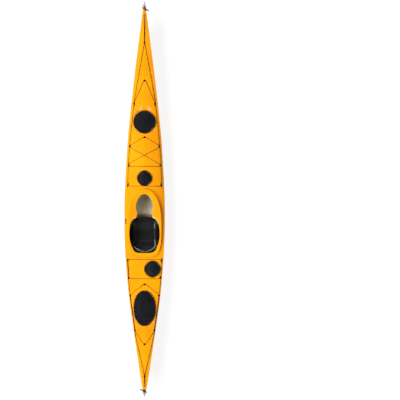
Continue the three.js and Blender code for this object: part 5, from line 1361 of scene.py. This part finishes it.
def make_deck_cords():
    """Shock cords and deck lines along the frame's own ways, each from its first knot to its last."""
    bow = CordWay().knot("port_1", 1, -1).under("port_1", 1, 1).under("centre_foredeck", 0, 1, True)
    bow.under("starboard_1", -1, -1).knot("starboard_1", -1, -1)
    front = CordWay().knot("port_3").under("port_3", 1, -1).under("starboard_3", -1, 1).under("port_2", 1, 1)
    front.under("centre_front", 0, 1, True).under("starboard_2", -1, -1).hop()
    front.over(at_fitting("port_3", *CROSS_END)[:2]).knot("port_3")
    pod = CordWay().knot("port_4").under("port_4", 1, -1).under("starboard_4", -1, 1).knot("starboard_4", -1)
    rear = CordWay().knot("starboard_5", -1, -1).under("starboard_5", -1, 1).under("port_5 port_6", 1, -1)
    rear.under("starboard_6", -1, 1).knot("starboard_6", -1)
    oval = CordWay().knot("centre_back", *BACK_KNOT).under("port_7 port_8", 1, -1)
    oval.under("centre_hatch", 0, 1, True).under("starboard_8 starboard_7", -1, 1)
    oval.under("centre_back", 0, -1, True).knot("centre_back", *BACK_KNOT)
    line = CordWay().knot("starboard_4", 0.5, -1)
    line.under("starboard_4 starboard_3 starboard_2 starboard_1 centre_bow", 1, 1)
    line.over(*[(x, BOW_TURN_Y + y) for x, y in LINE_TURN])
    line.under("centre_bow port_1 port_2 port_3 port_4", -1, -1).knot("port_4", -0.5, -1)
    aft = CordWay().knot("starboard_5", 0.5).under("starboard_5", 1, -1).over(DAY_HATCH_PASS)
    aft.under("starboard_6 starboard_7 starboard_8 centre_stern", 1, -1)
    aft.over(*[(x, STERN_TURN_Y - y) for x, y in LINE_TURN])
    aft.under("centre_stern port_8 port_7 port_6 port_5", -1, 1).knot("port_5", -0.5)
    for name, node, way, look in (
        ("bow_v_shock_cord", "bow_v_bungee", bow, CORD),
        ("front_shock_cord", "front_deck_bungee", front, CORD),
        ("pod_shock_cord", "pod_bungee", pod, CORD),
        ("rear_shock_cord", "rear_deck_bungee", rear, CORD),
        ("oval_hatch_shock_cord", "rear_hatch_bungee", oval, CORD),
        ("front_line", "front_deck_line", line, LINE),
        ("rear_line", "rear_deck_line", aft, LINE),
    ):
        path = eased(np.array(way.spots), 2)
        make_cord(name, "boat", node, path, [knot_at(path[end], DECK_KNOT) for end in (0, -1)], look)


def seat_point(u, v, sunk):
    """Across u, along v: front corners drawn back, a ramp between the cheeks, cheeks that rise outside."""
    edge = np.abs(u) ** 3
    y = SEAT_FRONT - SEAT_CORNER * np.abs(u) ** 5 * (1 - v) - SEAT_LENGTH * v
    ramp = SEAT_RAMP * curve_through(SEAT_RAMPS)(v) * (1 - edge)
    cheek = SEAT_CHEEK * curve_through(CHEEK_ALONG)(v) * curve_through(CHEEK)(np.abs(u))
    x = SEAT_HALF_WIDTH * curve_through(SEAT_WIDTH)(v) * u + np.sign(u) * sunk * edge
    return np.stack([x, y, SEAT_BASE + ramp + cheek - sunk], -1)


def make_seat():
    """The seat's upper and lower sheets over one grid, walled along their edge, and the foam under it."""
    v, u = np.meshgrid(np.linspace(0, 1, 61), np.linspace(-1, 1, 97), indexing="ij")
    upper, lower = [seat_point(u, v, sunk).reshape(-1, 3) for sunk in (0.0, SEAT_THICKNESS)]
    shell = walled(upper, lower, facing_up(upper, grid(*u.shape)))
    make("seat_shell", shell, [SEAT_SHELL], "boat", "seat", 50)
    block = moved(plate("seat_block"), y=SEAT_FRONT - BLOCK_BACK)
    foam = make("seat_foam_block", block, [FOAM], "boat", sharp=35)


def band_y(side):
    """The band bows back by a parabola of the share across it."""
    return BACKBAND_Y - BACKBAND_BOW * (1 - side ** 2)


def make_pad():
    """A bowed pad, thick as a root of a round arch between its seams, pinched at two sewn channels."""
    side, angle = np.meshgrid(np.linspace(-1, 1, 73), turns(48), indexing="ij")
    up = signed_power(np.sin(angle), 0.8)
    thick = BACKBAND_THICKNESS / 2 * signed_power(np.cos(angle), 0.7)
    channel = sum(np.exp(-((up - p) / 0.07) ** 2) for p in (-0.36, 0.36))
    ribs = np.exp(-((np.abs(side) - 0.52) / 0.03) ** 2)
    thick *= (1 - 0.5 * channel) * (1 - 0.35 * ribs * (np.abs(up) < 0.9)) * (1 - 0.55 * np.abs(side) ** 6)
    z = BAND_MIDDLE - BAND_SAG * side ** 2 + (BAND_HALF - BAND_TAPER * side ** 2) * up
    rings = np.stack([BACKBAND_HALF_WIDTH * side, band_y(side) + thick, z], -1)
    pad = make("backband_pad", capped(rings), [CLOTH], "back_rest", "backband", 60)


def make_binding():
    """Tape round the pad's edge, where its two faces are sewn together."""
    t = np.linspace(0, 1, 241)
    side = BINDING_SHARE * np.interp(t, *np.array(BINDING_SIDE).T)
    above = np.interp(t, *np.array(BINDING_ABOVE).T)
    z = BAND_MIDDLE - BAND_SAG * side ** 2 + (BAND_HALF - BAND_TAPER * side ** 2) * above
    edge = eased(np.stack([BACKBAND_HALF_WIDTH * side, band_y(side), z], -1), 6)
    # The tape's pale grey is a painted highlight along the band's edge.
    make("backband_binding", tube(edge, BINDING_RADIUS, 8), [HIGHLIGHT_TAPE], "back_rest", sharp=35)


def make_flap():
    """A dark cloth flap from the band's lower seam to the seat's rear edge, sagging by a half sine; this dark
    sheet is painted shade over the floor behind the seat.
    """
    t, across = np.meshgrid(np.linspace(0, 1, 15), np.linspace(-1, 1, 41), indexing="ij")
    x = FLAP_HALF_WIDTH * across
    side = x / BACKBAND_HALF_WIDTH
    low_y, low_z = SEAT_BACK + FLAP_HEM, seat_point(x / SEAT_HALF_WIDTH, 1.0, 0.0)[..., 2] + FLAP_LIFT
    high_z = BACKBAND_BOTTOM + FLAP_HEM + FLAP_RISE * side ** 2
    slack = np.sin(np.pi * t) * (FLAP_SLACK + FLAP_WAVE * np.cos(x / FLAP_WAVE_REACH))
    upper = np.stack([x, low_y + t * (band_y(side) - low_y), low_z + t * (high_z - low_z) - slack], -1)
    upper = upper.reshape(-1, 3)
    sheet = outwards(*walled(upper, upper - np.array(FLAP_THICKNESS), grid(*t.shape)))
    # The dark flap stands in for the shade that falls on the floor behind the seat.
    flap = make("backband_shade_flap", sheet, [CLOTH], None, sharp=35)
    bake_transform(flap)


def make_arms():
    """A webbing arm at each side runs from the pad's face to its pivot at the seat, with its pin and boss."""
    arms = []
    run = np.linspace(0, 1, 24)[:, None]
    half = (ARM_HALF_HEIGHT - ARM_TAPER * run)[:, :, None] * [0, 0, 1]
    section = np.array([[-1, -1], [-1, 1], [1, 1], [1, -1]])
    for side in (1, -1):
        face_y = band_y(ARM_START / BACKBAND_HALF_WIDTH) + ARM_FACE
        start = np.array([side * ARM_START, face_y, BACKBAND_HINGE + ARM_RISE])
        hinge = np.array([side * ARM_END, BACKBAND_Y + ARM_OFF, BACKBAND_HINGE])
        path = start + run * (hinge - start)
        path[:, 1] += ARM_BOW * np.sin(run[:, 0] * np.pi)
        thick = section[:, :1] * [0, ARM_HALF_THICKNESS, 0]
        pin = [[side * reach, BACKBAND_Y, BACKBAND_HINGE] for reach in (PIN_INSIDE, BACKBAND_REACH)]
        boss = placed(plate("arm_boss"), np.array([side * BOSS_X, BACKBAND_Y, BACKBAND_HINGE]),
                      np.array([0, 1.0, 0]), np.array([0, 0, 1.0]), np.array([side, 0, 0]))
        arms += [capped(path[:, None] + thick + section[:, 1:] * half), tube(pin, PIN_RADIUS, 20), boss]
    make("backband_arms", joined(*arms), [NYLON], "back_rest", sharp=35)


def inside_reach(y):
    """How far out the inside of the hull lies at the foot rests' height."""
    xs, zs = hull_side(np.array([y]), LAMINATE + GAP, np.array([float(sheer(y))]), 60)
    return float(np.interp(RAIL_LEVEL, zs[0], xs[0]))


def rail_part(middle, lean):
    """A channel rail on two feet that reach the hull, with a row of notches."""
    profile = rounded(RAIL_SECTION, RAIL_ROUND, 3)
    ends = (-RAIL_HALF_LENGTH, RAIL_HALF_LENGTH)
    rail = capped(np.array([np.insert(profile, 1, end, axis=1) for end in ends]))
    feet = []
    for y in (-FOOT_PLACE, FOOT_PLACE):
        reach = inside_reach(middle[1] + y) - (middle[0] + lean * y) - FOOT_CLEARANCE
        half = max(reach / 2 - FOOT_INSET, PLATES["rail_foot"][0])
        feet.append(moved(plate("rail_foot", half), half + RAIL_HALF_DEPTH + GAP, y))
    studs = [moved(plate("rail_stud"), STUD_PLACE, k * STUD_STEP) for k in range(-STUD_COUNT, STUD_COUNT + 1)]
    return joined(rail, *feet, *studs)


def pedal_part():
    """A carriage on the rail, its lever, and a pad with seven treads on each face, stood across the boat."""
    treads = [moved(plate(name), y=TREAD_START + k * TREAD_STEP)
              for k in range(7) for name in ("front_tread", "back_tread")]
    points, faces = joined(plate("pedal_pad"), *treads)
    away = RAIL_HALF_DEPTH + GAP + PEDAL_GAP + PLATES["pedal_pad"][0]
    stood = moved((points[:, [0, 2, 1]], faces), -away, z=PEDAL_LIFT)
    carriage = moved(plate("carriage"), -(RAIL_HALF_DEPTH + GAP + CARRIAGE_REACH))
    return joined(carriage, outwards(*stood), moved(plate("pedal_lever"), -LEVER_PLACE))


def make_foot_rests():
    """A rail along each side and the pedal that slides on it, both set along the hull's inside."""
    back, front = inside_reach(RAIL_BACK), inside_reach(RAIL_FRONT)
    middle = np.array([(back + front) / 2 - RAIL_INSET, (RAIL_BACK + RAIL_FRONT) / 2, RAIL_LEVEL])
    along = np.array([front - back, RAIL_FRONT - RAIL_BACK, 0.0])
    along /= np.linalg.norm(along)
    up = np.array([0, 0, 1.0])
    axes = (np.cross(along, up), along, up)
    rail, pedal = [placed(part, middle, *axes) for part in (rail_part(middle, along[0]), pedal_part())]
    for side in ("starboard", "port"):
        for name, part, look, body, node, slot in (
            (f"{side}_rail_channel", rail, RAIL, "boat", f"{side}_foot_rail", "rail_aluminium"),
            (f"{side}_pedal_tread", pedal, NYLON, f"{side}_pedal", f"{side}_foot_pedal", "black_plastic"),
        ):
            make(name, mirrored(part) if side == "port" else part, [look], body, node)


def make_blade():
    """The blade: a plan between its low and high edges, thick as a root of a round arch across it."""
    share = np.linspace(0.03, 0.955, 60)
    y = SKEG_FRONT - SKEG_LENGTH * share
    low = keel(y) + BLADE_KEEL_GAP + BLADE_HEEL_RISE * np.exp(-((share - share[-1]) / 0.02) ** 2)
    high = np.maximum(SKEG_TOP * curve_through(BLADE_TOP)(share), low + BLADE_LEAST)
    high[0] = low[0] + BLADE_TIP
    t = np.linspace(0, 1, 20)
    z = low[:, None] + (high - low)[:, None] * t
    thick = BLADE_HALF_THICKNESS * (1 - np.abs(2 * t - 1) ** 6)[None, :] ** 0.5
    thick = np.maximum(thick * (1 - 0.75 * np.clip((share - 0.55) / 0.42, 0, 1)[:, None] ** 2), BLADE_EDGE)
    near, far = [
        np.stack([side * thick, np.broadcast_to(y[:, None], z.shape), z], -1).reshape(-1, 3)
        for side in (1, -1)]
    blade = outwards(*walled(near, far, grid(*z.shape)))
    pivot_y = SKEG_FRONT - PIVOT_BACK
    pivot = np.array([0.0, pivot_y, float(keel(pivot_y)) + PIVOT_UP])
    x_axis, y_axis, z_axis = np.eye(3)
    hub = [placed(plate(name), pivot, y_axis, z_axis, x_axis) for name in ("skeg_boss", "skeg_pin")]
    make("skeg_foil", joined(blade, *hub), [BLADE], "skeg", "skeg_blade")


def make_slider():
    """The track, a rounded plate with a well along it and a screw at each end, and its ribbed knob."""
    outer = plate("slide_track")[0][:-2].reshape(8, -1, 3)
    ring = outer[-1] * np.append(np.divide(WELL_HALF, TRACK_HALF), 1.0)
    well = np.column_stack([ring[:, :2], np.full(len(ring), WELL_FLOOR)])
    track = capped(np.concatenate([outer, [ring, well]]))
    ends = [end * (SLOT_LENGTH / 2 + TRACK_SCREW_GAP) for end in (-1, 1)]
    part, index = two_looks([track], [moved(plate("track_screw"), y=y) for y in ends])
    make("skeg_slide_track", on_frame(part, SLIDER_FRAME), [NYLON, STEEL], "boat", "skeg_track",
         index=index)
    grips = [moved(plate("knob_grip"), y=GRIP_START + GRIP_STEP * k) for k in range(4)]
    knob = moved(joined(plate("knob_stem"), plate("knob_top"), *grips), y=SLOT_LENGTH / 2 - KNOB_BACK)
    make("skeg_slide_knob", on_frame(knob, SLIDER_FRAME), [NYLON], "skeg_knob", "skeg_slider")


def make_cable():
    """The cable's housing from the slider's end to the skeg box."""
    route = np.array([(across * HALF_BEAM, along * HALF_LENGTH, up * DEPTH) for along, across, up in CABLE])
    make("skeg_cable_housing", tube(stepped(route, 160), CABLE_RADIUS, 12), [NYLON], "boat", "skeg_cable",
         60)


def make_toggle(end, hole, place, facing):
    """A turned grip with round ends and shallow rings, and the cord loop that ties it to the end's hole."""
    x, y = place
    top = float(smooth_deck(0.0, y))
    middle = np.array([x, y, top + TOGGLE_RADIUS + TOGGLE_CLEARANCE])
    c, s = math.cos(TOGGLE_YAW), math.sin(TOGGLE_YAW)
    along, towards = np.array([c, s, 0.0]), np.array([-s, c, 0.0]) * facing
    t = np.linspace(-1, 1, 61)
    radius = TOGGLE_RADIUS * (1 - np.abs(t) ** 16) ** 0.5 * (0.9 + 0.1 * np.cos(t * np.pi))
    radius = np.maximum(radius - RING_DEPTH * (np.cos(t * 26) > 0.86) * (np.abs(t) > 0.3), TOGGLE_TIP)
    grip = tube(middle + along * (t * TOGGLE_LENGTH / 2)[:, None], radius, 24)
    make(f"{end}_grip", grip, [NYLON], f"{end}_handle", f"{end}_toggle")

    beside = float(half_breadth(hole[1])) + CORD_RADIUS + STRAND_GAP
    outer = beside + CORD_RADIUS
    knot = middle - towards * (TOGGLE_RADIUS + KNOT_BEHIND)
    strands = [np.array([
        [side * (beside - STRAND_TUCK), hole[1], hole[2]],
        [side * outer, hole[1] - facing * STRAND_RISE, hole[2] + STRAND_RISE],
        [side * outer, hole[1] - facing * STRAND_RUN, top + STRAND_RISE],
        middle + along * side * STRAND_APART + towards * (TOGGLE_RADIUS + STRAND_RISE),
        middle + along * side * STRAND_APART - towards * (TOGGLE_RADIUS + CORD_RADIUS),
        knot,
    ]) for side in (-1, 1)]
    path = stepped(np.concatenate([strands[0][::-1], [hole], strands[1]]), 90)
    knots = [knot_at(knot, TOGGLE_KNOT)]
    make_cord(f"{end}_grip_cord", f"{end}_handle", f"{end}_toggle_cord", path, knots, CORD)


def dress(look, *names):
    """Gives carried-over nodes their material."""
    for name in names:
        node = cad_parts[name]
        node.data.materials.clear()
        node.data.materials.append(look)


set_camera()
set_floor()
set_light()
make_hull()
make_deck()
make_coaming()
for hatch in HATCHES:
    make_cover(hatch)
for hatch in ("front", "day", "rear"):
    make_rim(hatch)
make_tub()
make_fittings()
make_deck_cords()
make_seat()
make_pad()
make_binding()
make_flap()
make_arms()
make_foot_rests()
make_blade()
make_slider()
make_cable()
for end, toggle in TOGGLES.items():
    make_toggle(end, *toggle)
dress(CAP, "bow_end_cap", "stern_end_cap")
dress(GLASS_SHEET, "front_bulkhead", "day_bulkhead", "rear_bulkhead", "skeg_box")
